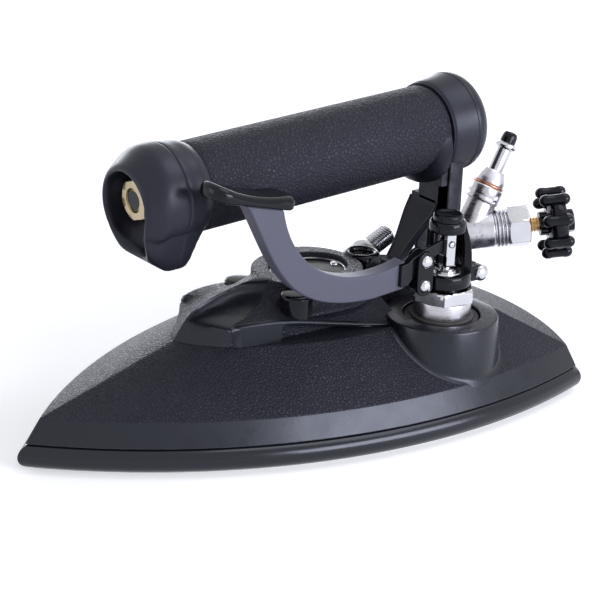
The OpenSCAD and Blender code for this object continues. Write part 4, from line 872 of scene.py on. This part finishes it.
plate.rings([oval_at(1, 46.6), oval_at(1, 47.35), oval_at(0.985, 47.55), oval_at(0.955, 47.55), oval_at(0.94, 47.3)],
            [1, 1, 1, 1], caps=False)
plate.rings([oval_at(0.94, 47.3), oval_at(0.7, 47.34), oval_at(0.4, 47.37), oval_at(0.1, 47.38)], 0, caps=False)
plate.add(oval_at(0.1, 47.38), [list(range(96))], 0)
plate.add(oval_at(1, 46.6), [list(range(96))[::-1]], 1)
plate.make("name_plate", "iron", [PLATE_BLACK, SATIN_NICKEL], ["nameplate"], "plate_black", angle=40)
for side in (-1, 1):
    pin = Shell(place((PLATE_X + side * 12, 0, 47.3), (0, 0, 1)))
    pin.lathe([(0, -0.6), (0.95, -0.6), (0.95, 0), (1.65, 0), (1.6, 0.35), (1.2, 0.65), (0.6, 0.78), (0, 0.8)], 32)
    pin.make("plate_screw_" + ("front" if side < 0 else "rear"), "iron", CHROME,
             ["nameplate_screws"] if side < 0 else [], "chrome", angle=50)

# ---------------------------------------------------------------- steam valve
AT_VALVE = place((VALVE[0], VALVE[1], 0), (0, 0, 1))
bonnet = Shell(AT_VALVE)
bonnet.lathe([(0, 34), (9.0, 34), (9.0, 35.6), (10.0, 36), (10.2, 36.3), (10.2, 41.2), (10.0, 41.7), (9.3, 42.0),
              (0, 42.0)], 96, [0] * 8)
hex_solid(bonnet, 20, 42, 46.5, 51, finish=1)
bonnet.lathe([(0, 46.4), (6.0, 46.4), (6.0, 51.6), (5.6, 52.0), (4.4, 52.0), (4.4, 52.9), (4.1, 53.1), (2.1, 53.1),
              (2.1, 50), (0, 50)], 64, 2)
bonnet.make("bonnet_nut", "iron", [SATIN_NICKEL, CHROME, CHROME], ["valve_bonnet", "gland_ring"], "chrome", bevel=0.12,
            angle=32)

stem = Shell(AT_VALVE)
stem.lathe([(0, 50), (2.0, 50), (2.0, 54), (0, 54)], 40)
for y0, y1 in ((-2.7, -0.9), (0.9, 2.7)):
    stem.slab([(-2.1, y0), (2.1, y0), (2.1, y1), (-2.1, y1)], 53.8, 66.2)
stem.slab([(-2.1, -2.7), (2.1, -2.7), (2.1, 2.7), (-2.1, 2.7)], 53.8, 58.0)
stem.slab([(-2.1, -2.7), (2.1, -2.7), (2.1, 2.7), (-2.1, 2.7)], 65.2, 66.2)
stem.lathe([(0, 66), (1.8, 66), (1.8, 68.3), (1.5, 68.5), (0, 68.5)], 32)
stem.make("valve_stem_bar", "stem", CHROME, ["valve_stem"], "chrome", bevel=0.25, angle=40)
pin = Shell(place((VALVE[0], VALVE[1] - 2.95, 62), (0, -1, 0)))
pin.lathe([(0, -5.9), (0.9, -5.9), (0.9, 0), (1.25, 0.02), (1.15, 0.3), (0.7, 0.5), (0, 0.55)], 32)
pin.make("stem_cross_pin", "stem", CHROME, ["stem_pin"], "chrome", angle=50)

collar = Shell(AT_VALVE)


def collar_ring(r, z):
    """Ring of the collar, cut flat beside the links."""
    out = []
    for i in range(96):
        a = math.tau * i / 96
        x, y = r * math.cos(a), r * math.sin(a)
        out.append((max(x, -8.1), y, z))
    return out


collar.rings([collar_ring(6.05, 47.3), collar_ring(9.0, 47.2), collar_ring(9.4, 47.6), collar_ring(9.4, 50.9),
              collar_ring(9.1, 51.6), collar_ring(8.4, 52.0), collar_ring(6.6, 52.0), collar_ring(6.05, 51.8)], around=True)
ear = [(x, z) for x, z in arc(-12.5, 49.5, 2.4, 90, 270, 12)] + [(-6.6, 47.3), (-6.6, 51.7)]
turned = Shell(place((VALVE[0], TONGUE_Y + 1.5, 0), (0, -1, 0), (1, 0, 0)))
turned.slab([(x, z) for x, z in ear], 0, 3)
collar.points += turned.points
base = len(collar.points) - len(turned.points)
collar.faces += [[base + i for i in f] for f in turned.faces]
collar.finishes += turned.finishes
collar.make("clamp_collar_black", "iron", GLOSS_BLACK, ["clamp_collar"], "gloss_black", bevel=0.18, angle=35)

for y0, y1, label in ((-4.5, -0.9, "near"), (0.0, 3.5, "far")):
    lug = Shell(place((VALVE[0], VALVE[1] + y1, 0), (0, -1, 0), (1, 0, 0)))
    outline = [(7.0, 47.0), (12.6, 46.9)] + arc(13.7, 49.5, 2.6, -84, 84, 14) + [(11.8, 52.6), (7.0, 52.2)]
    lug.slab(outline, 0, y1 - y0)
    lug.make("clamp_lug_" + label, "iron", GLOSS_BLACK, [], "gloss_black", bevel=0.5, angle=30, segments=3)
dome = Shell(place((55.4, -39.0, 49.5), (0, -1, 0)))
dome.lathe([(0, -4), (1.3, -4), (1.3, 0), (2.9, 0)] + [(2.9 * math.cos(math.radians(a)), 1.9 * math.sin(math.radians(a)))
           for a in spread(8, 84, 8)] + [(0, 1.9)], 40)
dome.make("clamp_screw_dome", "iron", CHROME, ["clamp_screw"], "chrome", angle=50)

# arch over the stem: a ring on a broad curved leg at the heel side and a thin one behind
arch = Shell(AT_VALVE)
arch.lathe([(3.7, 67.0), (3.9, 66.5), (6.1, 66.5), (6.5, 66.9), (6.5, 69.6), (6.1, 70.4), (5.4, 70.6), (3.7, 70.6)], 72,
           closed=True)
leg_rings = []
for z in (51.9, 53, 56, 59, 62, 64.5, 66.4, 68, 69.6):
    r_out = between([(51.9, 9.5), (55, 9.35), (60, 8.9), (64, 8.1), (67, 7.0), (69.6, 6.4)], z)
    r_in = min(r_out - 1.6, between([(51.9, 6.6), (60, 6.4), (66, 5.6), (69.6, 4.4)], z))
    a0, a1 = -46, between([(51.9, 34), (60, 30), (69.6, 40)], z)
    ring = [(r_out * math.cos(math.radians(a)), r_out * math.sin(math.radians(a)), z) for a in spread(a0, a1, 14)]
    ring += [(r_in * math.cos(math.radians(a)), r_in * math.sin(math.radians(a)), z) for a in spread(a1, a0, 14)]
    leg_rings.append(ring)
arch.rings(leg_rings)
arch.slab([(-3.4, 4.9), (-1.2, 4.9), (-1.2, 6.9), (-3.4, 6.9)], 51.9, 67)
arch.make("stem_arch", "iron", GLOSS_BLACK, ["valve_arch"], "gloss_black", bevel=0.3, angle=38, segments=3)
cap = Shell(AT_VALVE)
cap.lathe([(0, 70.5), (5.3, 70.5), (5.3, 71.9)] + arc(4.6, 72.1, 0.7, 0, 90, 6) + [(4.0, 72.7), (3.6, 72.45), (0, 72.4)], 72)
cap.make("arch_cap_black", "iron", GLOSS_BLACK, ["arch_cap"], "gloss_black", angle=40)

# ---------------------------------------------------------------- links and lever
LINK_OUT = arc(0, 0, 3.6, 180, 360, 24) + arc(0, 9, 3.6, 0, 180, 24)
for y_face, label in ((-37.3, "near"), (-32.3, "far")):
    link_plate = Shell(place((PIVOT_X, y_face, LOW_Z), (0, -1, 0), (1, 0, 0)))
    link_plate.slab(LINK_OUT, 0, 1.4)
    link_plate.make("link_" + label, "link", GLOSS_BLACK, ["link_plate_" + label], "gloss_black", bevel=0.28, segments=3)
for z, label in ((HIGH_Z, "upper"), (LOW_Z, "lower")):
    rivet = Shell(place((PIVOT_X, -38.7, z), (0, -1, 0)))
    head = [(2.4 * math.cos(math.radians(a)), 1.6 * math.sin(math.radians(a))) for a in spread(0, 84, 9)]
    tail = [(2.4 * math.cos(math.radians(a)), -6.4 - 1.6 * math.sin(math.radians(a))) for a in spread(84, 0, 9)]
    rivet.lathe([(0, -8.0)] + tail + [(1.2, -6.4), (1.2, 0)] + head + [(0, 1.6)], 48)
    rivet.make("rivet_" + label, "link", CHROME, [label + "_rivet"], "chrome", angle=50)

low = bezier([(-46, 87 + 15 * math.tan(math.radians(14.8))), (-33, 68), (-30, 49), (9, 48)], 40)
high = bezier([(22.7, 59), (2, 53), (-26, 60), (-31, 87)], 44)
arm = Shell(place((0, -29.5, 0), (0, -1, 0), (1, 0, 0)))
arm.slab(low + [(22.7, 49)] + high, 0, 6)
arm.make("lever_arm_black", "lever", LIT_LEVER_PAINT, ["lever_arm"], "lever_black", bevel=0.75, angle=40, segments=4)

tail = Shell(place((0, TONGUE_Y + 1.5, 0), (0, -1, 0), (1, 0, 0)))
tail.slab([(19.7, 50.4), (22.7, 50.4), (24.5, 52.0), (28.2, 55.2)] + arc(PIVOT_X, HIGH_Z, 3.1, -70, 110, 16)
          + [(24.8, 60.2), (22.7, 58.7), (19.7, 58.2)], 0, 3)
tilt = math.atan2(3.5, 12.5)
blade = [(-0.5, -2.2), (12.98, -2.2)] + arc(12.98, 0, 2.2, -80, 80, 10) + [(12.98, 2.2), (-0.5, 2.2)]
tail.where = place((0, -34.0, 0), (0, -1, 0), (1, 0, 0))
tail.slab([(PIVOT_X + x * math.cos(tilt) - y * math.sin(tilt), HIGH_Z + x * math.sin(tilt) + y * math.cos(tilt))
           for x, y in blade], 0, 1.2)
tail.make("lever_tail", "lever", GLOSS_BLACK, [], "gloss_black", bevel=0.22, angle=35)

# thumb pad: a rounded boat-shaped plate with a dished top and a full rim
PITCH = math.radians(14.8)
pad = Shell(place((-31, -29, 87), (math.sin(PITCH), 0, math.cos(PITCH)), (math.cos(PITCH), 0, -math.sin(PITCH))))


def pad_outline(grow):
    x0, x1, w = -28.5 - grow, 4.5 + grow, 7 + grow
    rear, nose = min(3.0, w), min(6.0, w)
    side = spread(x1 - rear, x0 + nose, 18)[1:-1]
    return (arc(x1 - rear, -w + rear, rear, -90, 0, 8) + arc(x1 - rear, w - rear, rear, 0, 90, 8)
            + [(x, w) for x in side] + arc(x0 + nose, w - nose, nose, 90, 180, 10)
            + arc(x0 + nose, -w + nose, nose, 180, 270, 10) + [(x, -w) for x in side[::-1]])


def pad_low(grow, z):
    return [(x, y, z) for x, y in pad_outline(grow)]


def pad_high(grow, below):
    """Ring of the pad under its dished top, which rises to the front."""
    return [(x, y, 5 + 1.4 * (4.5 - x) / 36 - max(0.0, 2.3 - (x + 13.5) ** 2 / 128) - below)
            for x, y in pad_outline(grow)]


pad.rings([pad_low(-2.6, 0), pad_low(-1.0, 0), pad_low(-0.35, 0.25), pad_low(0, 0.9), pad_high(0, 2.2),
           pad_high(-0.12, 1.5), pad_high(-0.5, 0.75), pad_high(-1.1, 0.22), pad_high(-1.9, 0), pad_high(-3.0, 0.04),
           pad_high(-4.4, 0.08), pad_high(-6.2, 0.1)])
pad.make("thumb_pad_gloss", "lever", GLOSS_BLACK, ["thumb_pad"], "gloss_black", angle=60)

# ---------------------------------------------------------------- handle
HANDLE = place((0, 0, 89.3), AXIS_DIR, (math.sin(TILT), 0, -math.cos(TILT)))
# local X points down, local Y away from the lever, local Z to the heel


def on_handle(s):
    return HANDLE @ Matrix.Translation((0, 0, s))


grip = Shell(HANDLE)
rings = []
SEAM = math.radians(-52)
grip_n = 144
for s in spread(-44.5, 45, 60) + spread(46.5, 59.5, 8):
    r0 = between([(-44.5, 15.05), (-44.0, 15.35), (-43, 15.4), (57.5, 15.4), (59, 15.3), (59.5, 15.05)], s)
    ring = []
    for i in range(grip_n):
        a = math.tau * i / grip_n
        gap = abs((a - SEAM + math.pi) % math.tau - math.pi)
        far = abs((a + SEAM + math.pi) % math.tau - math.pi)
        r = r0 - (0.28 if min(gap, far) < math.tau / grip_n * 0.6 else 0)
        ring.append((r * math.cos(a), r * math.sin(a), s))
    rings.append(ring)
bore = [[(9.05 * math.cos(math.tau * i / grip_n), 9.05 * math.sin(math.tau * i / grip_n), s) for i in range(grip_n)]
        for s in (59.5, -44.5)]
grip.rings(rings + bore, around=True)
grip.make("grip_leather_grain", "iron", GRIP_RUBBER, ["grip"], "grip_rubber", bevel=0.35, angle=50)


BUMP_N = 144
FRONT = -69.4
BODY_R = [(-69.4, 13.0), (-68.8, 13.9), (-67.5, 14.8), (-66, 15.8), (-63, 17.1), (-60, 17.5), (-57, 17.7), (-55.6, 17.65),
          (-55.3, 17.5), (-55, 17.0), (-54.7, 17.3), (-54.3, 17.35), (-51, 16.9), (-48, 16.6), (-45.6, 15.7), (-44.5, 15.1)]
CHIN_R = [(-69.4, 13.0), (-66, 17.2), (-62.6, 21.0), (-60, 23.5), (-57.8, 24.5), (-51.6, 24.8), (-50.3, 23.6),
          (-48.4, 17.6), (-47, 14.2), (-45, 12.2)]
CREASE = math.radians(56)


def bumper_radius(s, a):
    """Outer radius of the bumper at a place along the axis: round body, and flat-sided chin below a crease."""
    body = between(BODY_R, s)
    a = abs((a + math.pi) % math.tau - math.pi)
    if a >= CREASE:
        return body
    side, flat = 16.3 * min(1.0, body / 17.4) / (math.sin(a) + 0.31 * math.cos(a)), between(CHIN_R, s) / math.cos(a)
    chin = -2.2 * math.log(math.exp(-side / 2.2) + math.exp(-flat / 2.2)) + 0.6
    inset = ease((s + 65) / 4) * ease((-50 - s) / 2.5)
    return max(min(chin, flat), body - 1.3 * inset)


bumper = Shell(HANDLE)
angles = [math.tau * i / BUMP_N for i in range(BUMP_N)]


def bottomness(a):
    d = abs((a + math.pi) % math.tau - math.pi)
    return math.exp(-(d / 0.6) ** 2)


def sunk(x, y, s):
    """The front of the bumper hangs a little below the handle's axis."""
    return (x + 1.5 * ease((-60 - s) / 6), y, s)


outer_rows = []
places = [-69.4, -69.1, -68.6, -68, -67.2, -66.3, -65.2, -64, -62.5, -61, -59.5, -58, -56.8, -56, -55.6, -55.3, -55, -54.7,
          -54.3, -53.6, -52.7, -52, -51, -50, -49, -48, -47, -46.2, -45.5, -45, -44.7, -44.5]
for s in places:
    ring = []
    for a in angles:
        cut = FRONT + 5.6 * bottomness(a)
        place_s = max(s, cut + (s - FRONT) * 0.04)
        r = bumper_radius(place_s, a)
        ring.append((r * math.cos(a), r * math.sin(a), place_s))
    outer_rows.append(ring)
lip_rows = []
for t in spread(0, 1, 7)[1:]:
    ring = []
    for k, a in enumerate(angles):
        x, y, s0 = outer_rows[0][k]
        r0 = math.hypot(x, y)
        low_r = min(r0 - 1.6, 11.6 + 6.2 * bottomness(a) + 1.2 * math.sin(a) ** 2)
        r = r0 - (r0 - low_r) * math.sin(math.pi / 2 * t)
        ring.append((r * math.cos(a), r * math.sin(a), s0 - 0.5 * math.sin(math.pi * t) + 2.7 * t * t))
    lip_rows.append(ring)
inner_rows = []
for t in (0.35, 0.7, 1.0):
    ring = []
    for k, a in enumerate(angles):
        x, y, s0 = lip_rows[-1][k]
        r0 = math.hypot(x, y)
        s = s0 + (-58 - s0) * t
        r = r0 + (12.0 - r0) * t ** 1.5
        ring.append((r * math.cos(a), r * math.sin(a), s))
    inner_rows.append(ring)
bumper.rings([[sunk(*q) for q in ring] for ring in inner_rows[::-1] + lip_rows[::-1] + outer_rows], 0)
bumper.make("front_bumper_moulded", "iron", CAP_PLASTIC, ["front_bumper"], "cap_black", angle=42)

nut = Shell(on_handle(-66))
hex_solid(nut, 13, 0, 6.5, 10, bore=4.15, both=True)
nut.make("front_nut", "iron", ZINC, ["tie_nut"], "zinc", bevel=0.12, angle=28)
washer = Shell(on_handle(-59.5))
washer.lathe([(4.1, 0), (8.8, 0), (9.0, 0.25), (9.0, 1.3), (8.8, 1.5), (4.1, 1.5)], 72, closed=True)
washer.make("front_washer", "iron", CHROME, ["tie_washer"], "chrome", angle=40)
rod = Shell(on_handle(0))
# The rod's front end face takes the gloss black finish: painted shade for the shadowed end of the zinc rod.
rod.lathe([(0, -65.6), (3.3, -65.6), (3.95, -65.1), (3.95, 75.5), (3.4, 76), (0, 76)], 48, [1, 0, 0, 0, 0])
rod.make("handle_rod", "iron", [ZINC, GLOSS_BLACK], ["tie_rod"], "zinc", angle=35)

# rear cap: a blunt dome on the handle's end with two fine seams
rear = Shell(HANDLE)
rear.lathe([(0, 59.6), (15.3, 59.6), (15.6, 59.5), (16.2, 59.75), (16.3, 60.0), (16.05, 60.2), (16.4, 60.5), (16.6, 61),
            (16.9, 63), (17.3, 66), (17.75, 69), (17.88, 69.8), (17.75, 70.0), (17.93, 70.2), (18, 71), (17.95, 72),
            (17.7, 73), (17.2, 74), (16.4, 75), (15.6, 75.8), (14.7, 76.5), (13.6, 77.25), (12.3, 78), (10.5, 79.05),
            (8.5, 80), (6.8, 80.6), (5, 81), (2.5, 81.25), (0, 81.3)], 96)
rear.make("rear_ball", "iron", CAP_PLASTIC, ["rear_cap"], "cap_black", angle=42)

# bracket: wide strut down to the foot in front, leg with a window behind, cup under the handle
bracket = Shell()


def strut_at(z):
    """Front face and half-width of the strut at a height."""
    front = 61.5 - 13 * min(1.0, max(0.0, (64 - z) / 19.5))
    return front, 3.2 + 3.8 * ease((z - 46) / 18) + 1.1 * ease((44.5 - z) / 2.5)


strut = []
for z in spread(66, 41.5, 18):
    fx, half = strut_at(z)
    strut.append([(fx, -half, z), (fx + 4.2, -half, z), (fx + 4.2, half, z), (fx, half, z)])
bracket.rings(strut, 0)
for side in (-1, 1):
    ribs = []
    for z in spread(64.5, 44, 14):
        fx, half = strut_at(z)
        ribs.append([(x, side * y, z) for x, y in ((fx - 0.5, half - 0.5), (fx + 1.5, half - 0.5), (fx + 1.5, half + 0.45),
                                                   (fx - 0.5, half + 0.45))])
    bracket.rings(ribs, 0)
LEG = [(61.5, -13), (68, -13), (68, 10), (61.5, 3)]
bracket.slab(LEG, 33, 41)
bracket.slab(LEG, 56, 85.3)
bracket.slab([(61.5, -13), (68, -13), (68, -7), (61.5, -7)], 33, 85)
bracket.slab([(61.5, 2), (68, 2), (68, 10), (61.5, 3)], 33, 85)
bracket.slab([(60.5, -13), (71, -13), (71, -5), (68, -3.6), (68, 3.6), (68, 12.9), (60.5, 13)], 33, 36.6)
bracket.slab([(45, -4.5), (54, -4.5), (54, 4.5), (45, 4.5)], 41, 43.6)
bracket.slab([(58.5, -12), (62.5, -12), (62.5, 12), (58.5, 12)], 72.8, 80)
bracket.where = HANDLE @ Matrix.Translation((4, 0, 0))
bracket.lathe([(0, 50), (11.2, 50), (13.2, 51.5), (14.6, 53), (15.6, 55), (16, 57), (16, 59.4), (0, 59.4)], 96)
bracket.where = on_handle(60)
bracket.lathe([(0, 0), (13.9, 0), (13.9, 8), (0, 8)], 64)
bracket.where = Matrix.Identity(4)
bracket.make("bracket_casting", "iron", CAST_BLACK, ["handle_bracket"], "lever_black", bevel=0.55, angle=30, segments=3)

# ---------------------------------------------------------------- steam fitting, hand valve and hose branch
AX = place(FIT, VALVE_DIR, VALVE_DOWN)
BR = place(FIT, HOSE_DIR)


def at(frame_m, s):
    return frame_m @ Matrix.Translation((0, 0, s))


body = Shell(AX)
profile = [(0, -15.5), (6.2, -15.5), (6.8, -14.9), (6.8, 9.5), (6.5, 9.9), (6.2, 10.1)]
for k in range(3):
    s = 10.8 + k * 1.4
    profile += [(6.2, s), (7.05, s + 0.2), (7.05, s + 0.8), (6.2, s + 1.05)]
body.lathe(profile + [(6.2, 15.0), (0, 15.0)], 72, 0)
body.where = BR
body.lathe([(0, 0), (6.0, 0), (6.1, 6), (6.15, 11.6), (5.9, 12.1), (5.9, 12.4), (0, 12.4)], 72, 1)
body.where = place((76, 5.78, 0), (0, 0, 1))
body.lathe([(0, 36.8), (7.6, 36.8), (7.6, 44.0), (6.9, 45.4), (5.4, 46.1), (0, 46.2)], 72, 0)
body.make("fitting_casting", "iron", [CAST_NICKEL, SATIN_NICKEL], ["fitting_body"], "nickel", bevel=0.15, angle=34)

gland = Shell(at(AX, 15))
hex_solid(gland, 14, 0, 8.2, 0, bore=2.95, both=True)
gland.make("gland_hexagon", "iron", CHROME, ["gland_nut"], "chrome", bevel=0.12, angle=28)

spindle = Shell(AX)
profile = [(0, -2.6), (0.6, -2.6), (1.4, -0.6), (2.8, 1.4), (2.8, 23.0)]
for k in range(4):
    s = 23.2 + k
    profile += [(2.8, s), (2.8, s + 0.25), (2.35, s + 0.5), (2.35, s + 0.75)]
spindle.lathe(profile + [(2.8, 27.0), (2.0, 27.2), (2.0, 39.6), (1.6, 40.2), (0, 40.2)], 48)
spindle.make("brass_spindle", "needle", BRASS, ["needle_stem"], "brass", angle=35)

wheel = Shell(at(AX, 27.2))
wheel.lathe([(2.1, 0), (4.5, 0), (4.5, 3.0), (5.2, 3.4), (9.4, 3.6), (10.6, 4.4), (11.0, 5.4), (11.0, 7.6), (10.6, 8.8),
             (9.4, 9.7), (8.6, 9.2), (8.0, 8.3), (5.6, 8.3), (5.0, 9.0), (4.6, 10.0), (2.1, 10.0)], 72, closed=True)
for k in range(8):
    a = math.radians(22.5 + 45 * k)
    wheel.where = at(AX, 27.2) @ Matrix.Translation((11.3 * math.cos(a), 11.3 * math.sin(a), 2.0))
    half_ball = [(2.2 * math.cos(math.radians(t)), 2.2 * math.sin(math.radians(t))) for t in spread(-84, 0, 6)]
    upper_ball = [(2.2 * math.cos(math.radians(t)), 7.3 + 2.2 * math.sin(math.radians(t))) for t in spread(0, 84, 6)]
    waist = [(2.2, 0.9), (2.0, 1.8), (2.0, 5.5), (2.2, 6.4)]
    wheel.lathe([(0, -2.2)] + half_ball + waist + upper_ball + [(0, 9.5)], 28)
wheel.make("valve_wheel", "wheel", GLOSS_BLACK, ["handwheel"], "gloss_black", bevel=0.2, angle=35)
wheel_nut = Shell(at(AX, 37.2))
hex_solid(wheel_nut, 8, 0, 3, 0, bore=2.1, both=True)
wheel_nut.make("wheel_lock_nut", "wheel", GLOSS_BLACK, ["wheel_nut"], "gloss_black", angle=28)

ring_nut = Shell(at(BR, 12.4))
ring_nut.lathe([(2.95, 0), (5.7, 0), (6.05, 0.3), (6.3, 0.8), (6.3, 1.9), (6.15, 2.2), (6.3, 2.5), (6.3, 5.5), (6.0, 6.1),
                (5.6, 6.4), (2.95, 6.4)], 72, closed=True)
ring_nut.make("branch_ring_nut", "iron", SATIN_NICKEL, ["branch_nut"], "chrome", angle=32)
ring = Shell(at(BR, 18.8))
ring.lathe([(2.95, 0), (5.7, 0), (6.0, 0.2), (6.0, 0.6), (5.7, 0.8), (2.95, 0.8)], 64, closed=True)
ring.make("copper_seal", "iron", COPPER, ["copper_washer"], "copper", angle=40)
neck = Shell(at(BR, 19.6))
neck.lathe([(2.92, 0), (5.3, 0), (5.6, 0.35), (5.6, 1.6), (5.4, 2.2), (4.9, 3.4), (4.35, 4.7), (4.1, 5.3), (3.9, 5.5),
            (2.92, 5.5)], 64, closed=True)
neck.make("hatched_collar", "iron", COLLAR_NICKEL, ["nipple_collar"], "nickel", angle=36)
hose = Shell(at(BR, 19.6))
hose.lathe([(1.6, 0), (2.9, 0), (2.9, 14.2), (3.3, 14.4), (4.0, 14.8), (4.25, 15.4), (4.1, 16.1), (3.5, 16.6), (3.0, 16.8),
            (2.95, 18.2), (2.9, 19.2), (2.65, 20.2), (2.2, 20.8), (1.65, 21.0), (1.6, 20.9)], 64, [0] * 8 + [1] * 6 + [0],
           closed=True)
hose.make("hose_spigot", "iron", [CHROME, GLOSS_BLACK], ["hose_nipple"], "chrome", angle=30)

# threaded drain nipple with real ridges
drain = Shell(place((47, 16, 0), (0, 0, 1)))
drain.lathe([(0, 35), (5.4, 35), (5.4, 41.5), (0, 42)], 56)
drain.where = place((47, 16, 41), DRAIN_DIR, (0, 1, 0))
ball = [(5.6 * math.cos(math.radians(a)), 5.6 * math.sin(math.radians(a))) for a in spread(-84, 42, 14)]
drain.lathe([(0, -5.6)] + ball + [(3.6, 4.4), (0, 4.6)], 64)
threads, turns, pitch = [], 9, 1.0
n_t = 48
for k in range(int(turns * 8) + 1):
    z = 4.6 + k * pitch / 8
    ring = []
    for i in range(n_t):
        phase = (z / pitch - i / n_t) % 1.0
        crest = 1 - abs(phase * 2 - 1)
        fade = ease((13.9 - z) / 0.8) * ease((z - 4.5) / 0.6)
        r = 3.3 + 0.6 * min(1.0, max(0.0, crest * 1.4 - 0.2)) * fade
        ring.append((r * math.cos(math.tau * i / n_t), r * math.sin(math.tau * i / n_t), min(z, 13.7)))
    threads.append(ring)
end = [[(r * math.cos(math.tau * i / n_t), r * math.sin(math.tau * i / n_t), z) for i in range(n_t)]
       for r, z in ((3.0, 13.95), (2.4, 14.0), (2.2, 13.7), (2.2, 9.0))]
drain.rings(threads + end, 1)
drain.make("threaded_nipple", "iron", [CAST_NICKEL, THREAD_NICKEL], ["drain_nipple"], "nickel", angle=34)

# ---------------------------------------------------------------- finishes on the solids that stay
STAYS = {
    "sole_plate": SOLE_METAL, "sole_gasket": SEALING, "sole_screws": BRIGHT_STEEL, "plug_washer": COPPER,
    "cover_screws": BRIGHT_STEEL, "valve_seat": BRASS, "valve_disc": BRIGHT_STEEL, "valve_spring": BRIGHT_STEEL,
    "bonnet_gasket": SEALING, "valve_packing": SEALING, "bracket_bolts": BRIGHT_STEEL, "handle_tube": BRIGHT_STEEL,
    "rear_nut": ZINC, "fitting_gasket": COPPER, "needle_packing": SEALING,
}
for node, mat in STAYS.items():
    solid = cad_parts[node]
    solid.data.materials.clear()
    solid.data.materials.append(mat)

# ---------------------------------------------------------------- floor, light and camera
floor_mesh = bpy.data.meshes.new("floor")
floor_mesh.from_pydata([(-6, -6, 0), (6, -6, 0), (6, 6, 0), (-6, 6, 0)], [], [(0, 1, 2, 3)])
floor = bpy.data.objects.new("floor", floor_mesh)
bpy.context.scene.collection.objects.link(floor)
floor.location.z = cad_box[0][2] - 0.0002
floor_mat = bpy.data.materials.new("pale_floor")
floor_mat.use_nodes = True
floor_tree = floor_mat.node_tree
floor_shader = floor_tree.nodes["Principled BSDF"]
floor_shader.inputs["Base Color"].default_value = (0.88, 0.88, 0.9, 1)
floor_shader.inputs["Roughness"].default_value = 0.7
floor_shader.inputs["Specular IOR Level"].default_value = 0.2
floor_mesh.materials.append(floor_mat)


def seen_mask(tree):
    """1 for rays that look at the background directly or in a shiny or clear part."""
    rays = tree.nodes.new("ShaderNodeLightPath").outputs
    both = math_node(tree, "MAXIMUM", rays["Is Camera Ray"], rays["Is Glossy Ray"])
    return math_node(tree, "MAXIMUM", both, rays["Is Transmission Ray"])


floor_shader.inputs["Emission Color"].default_value = (1, 1, 1, 1)
spot = floor_tree.nodes.new("ShaderNodeTexCoord").outputs["Object"]
away = floor_tree.nodes.new("ShaderNodeVectorMath")
away.operation = "LENGTH"
link(floor_tree, spot, away.inputs[0])
glow = span_node(floor_tree, away.outputs["Value"], 0.4, 1.8, 0.42, 0.85)
link(floor_tree, math_node(floor_tree, "MULTIPLY", seen_mask(floor_tree), glow), floor_shader.inputs["Emission Strength"])

world = bpy.data.worlds.new("studio")
bpy.context.scene.world = world
world.use_nodes = True
w_tree = world.node_tree
background = w_tree.nodes["Background"]
background.inputs["Color"].default_value = (0.95, 0.96, 1.0, 1)
background.inputs["Strength"].default_value = 0.32
seen = w_tree.nodes.new("ShaderNodeBackground")
seen.inputs["Color"].default_value = (1, 1, 1, 1)
seen.inputs["Strength"].default_value = 1.0
pick = w_tree.nodes.new("ShaderNodeMixShader")
link(w_tree, seen_mask(w_tree), pick.inputs["Fac"])
link(w_tree, background.outputs[0], pick.inputs[1])
link(w_tree, seen.outputs[0], pick.inputs[2])
link(w_tree, pick.outputs[0], w_tree.nodes["World Output"].inputs["Surface"])


def lamp(name, spot, aim, size, watts, tint=(1, 1, 1)):
    data = bpy.data.lights.new(name, "AREA")
    data.shape = "RECTANGLE"
    data.size, data.size_y = size
    data.energy = watts
    data.color = tint
    made = bpy.data.objects.new(name, data)
    made.location = spot
    made.rotation_euler = (Vector(aim) - Vector(spot)).to_track_quat("-Z", "Y").to_euler()
    bpy.context.scene.collection.objects.link(made)


COOL = (0.88, 0.91, 1.0)
lamp("front_box", (0.36, -1.24, 0.44), (0, 0, 0.05), (0.95, 0.6), 17.0, COOL)
lamp("left_box", (-1.3, 0.45, 0.32), (0, 0, 0.04), (0.9, 0.5), 2.5, COOL)
lamp("back_box", (0.62, 1.25, 0.25), (0, 0, 0.03), (1.5, 0.42), 9.5, COOL)
lamp("top_box", (0.45, -0.32, 1.25), (0, 0, 0.05), (0.8, 0.8), 5.0, COOL)

cam_data = bpy.data.cameras.new("photo_camera")
cam_data.lens = 120
cam_data.sensor_width = 36
camera = bpy.data.objects.new("photo_camera", cam_data)
right, ahead, up = Vector((0.7771, -0.6293, 0)), Vector((0.5855, 0.7231, -0.3665)), Vector((0.2306, 0.2848, 0.9304))
roll = math.radians(2.6)
across = right * math.cos(roll) + up * math.sin(roll)
upward = up * math.cos(roll) - right * math.sin(roll)
view = Matrix.Identity(4)
for r in range(3):
    view[r][0], view[r][1], view[r][2], view[r][3] = across[r], upward[r], -ahead[r], (-0.409, -0.512, 0.296)[r]
camera.matrix_world = view
bpy.context.scene.collection.objects.link(camera)
bpy.context.scene.camera = camera
bpy.context.scene.view_settings.view_transform = "Standard"
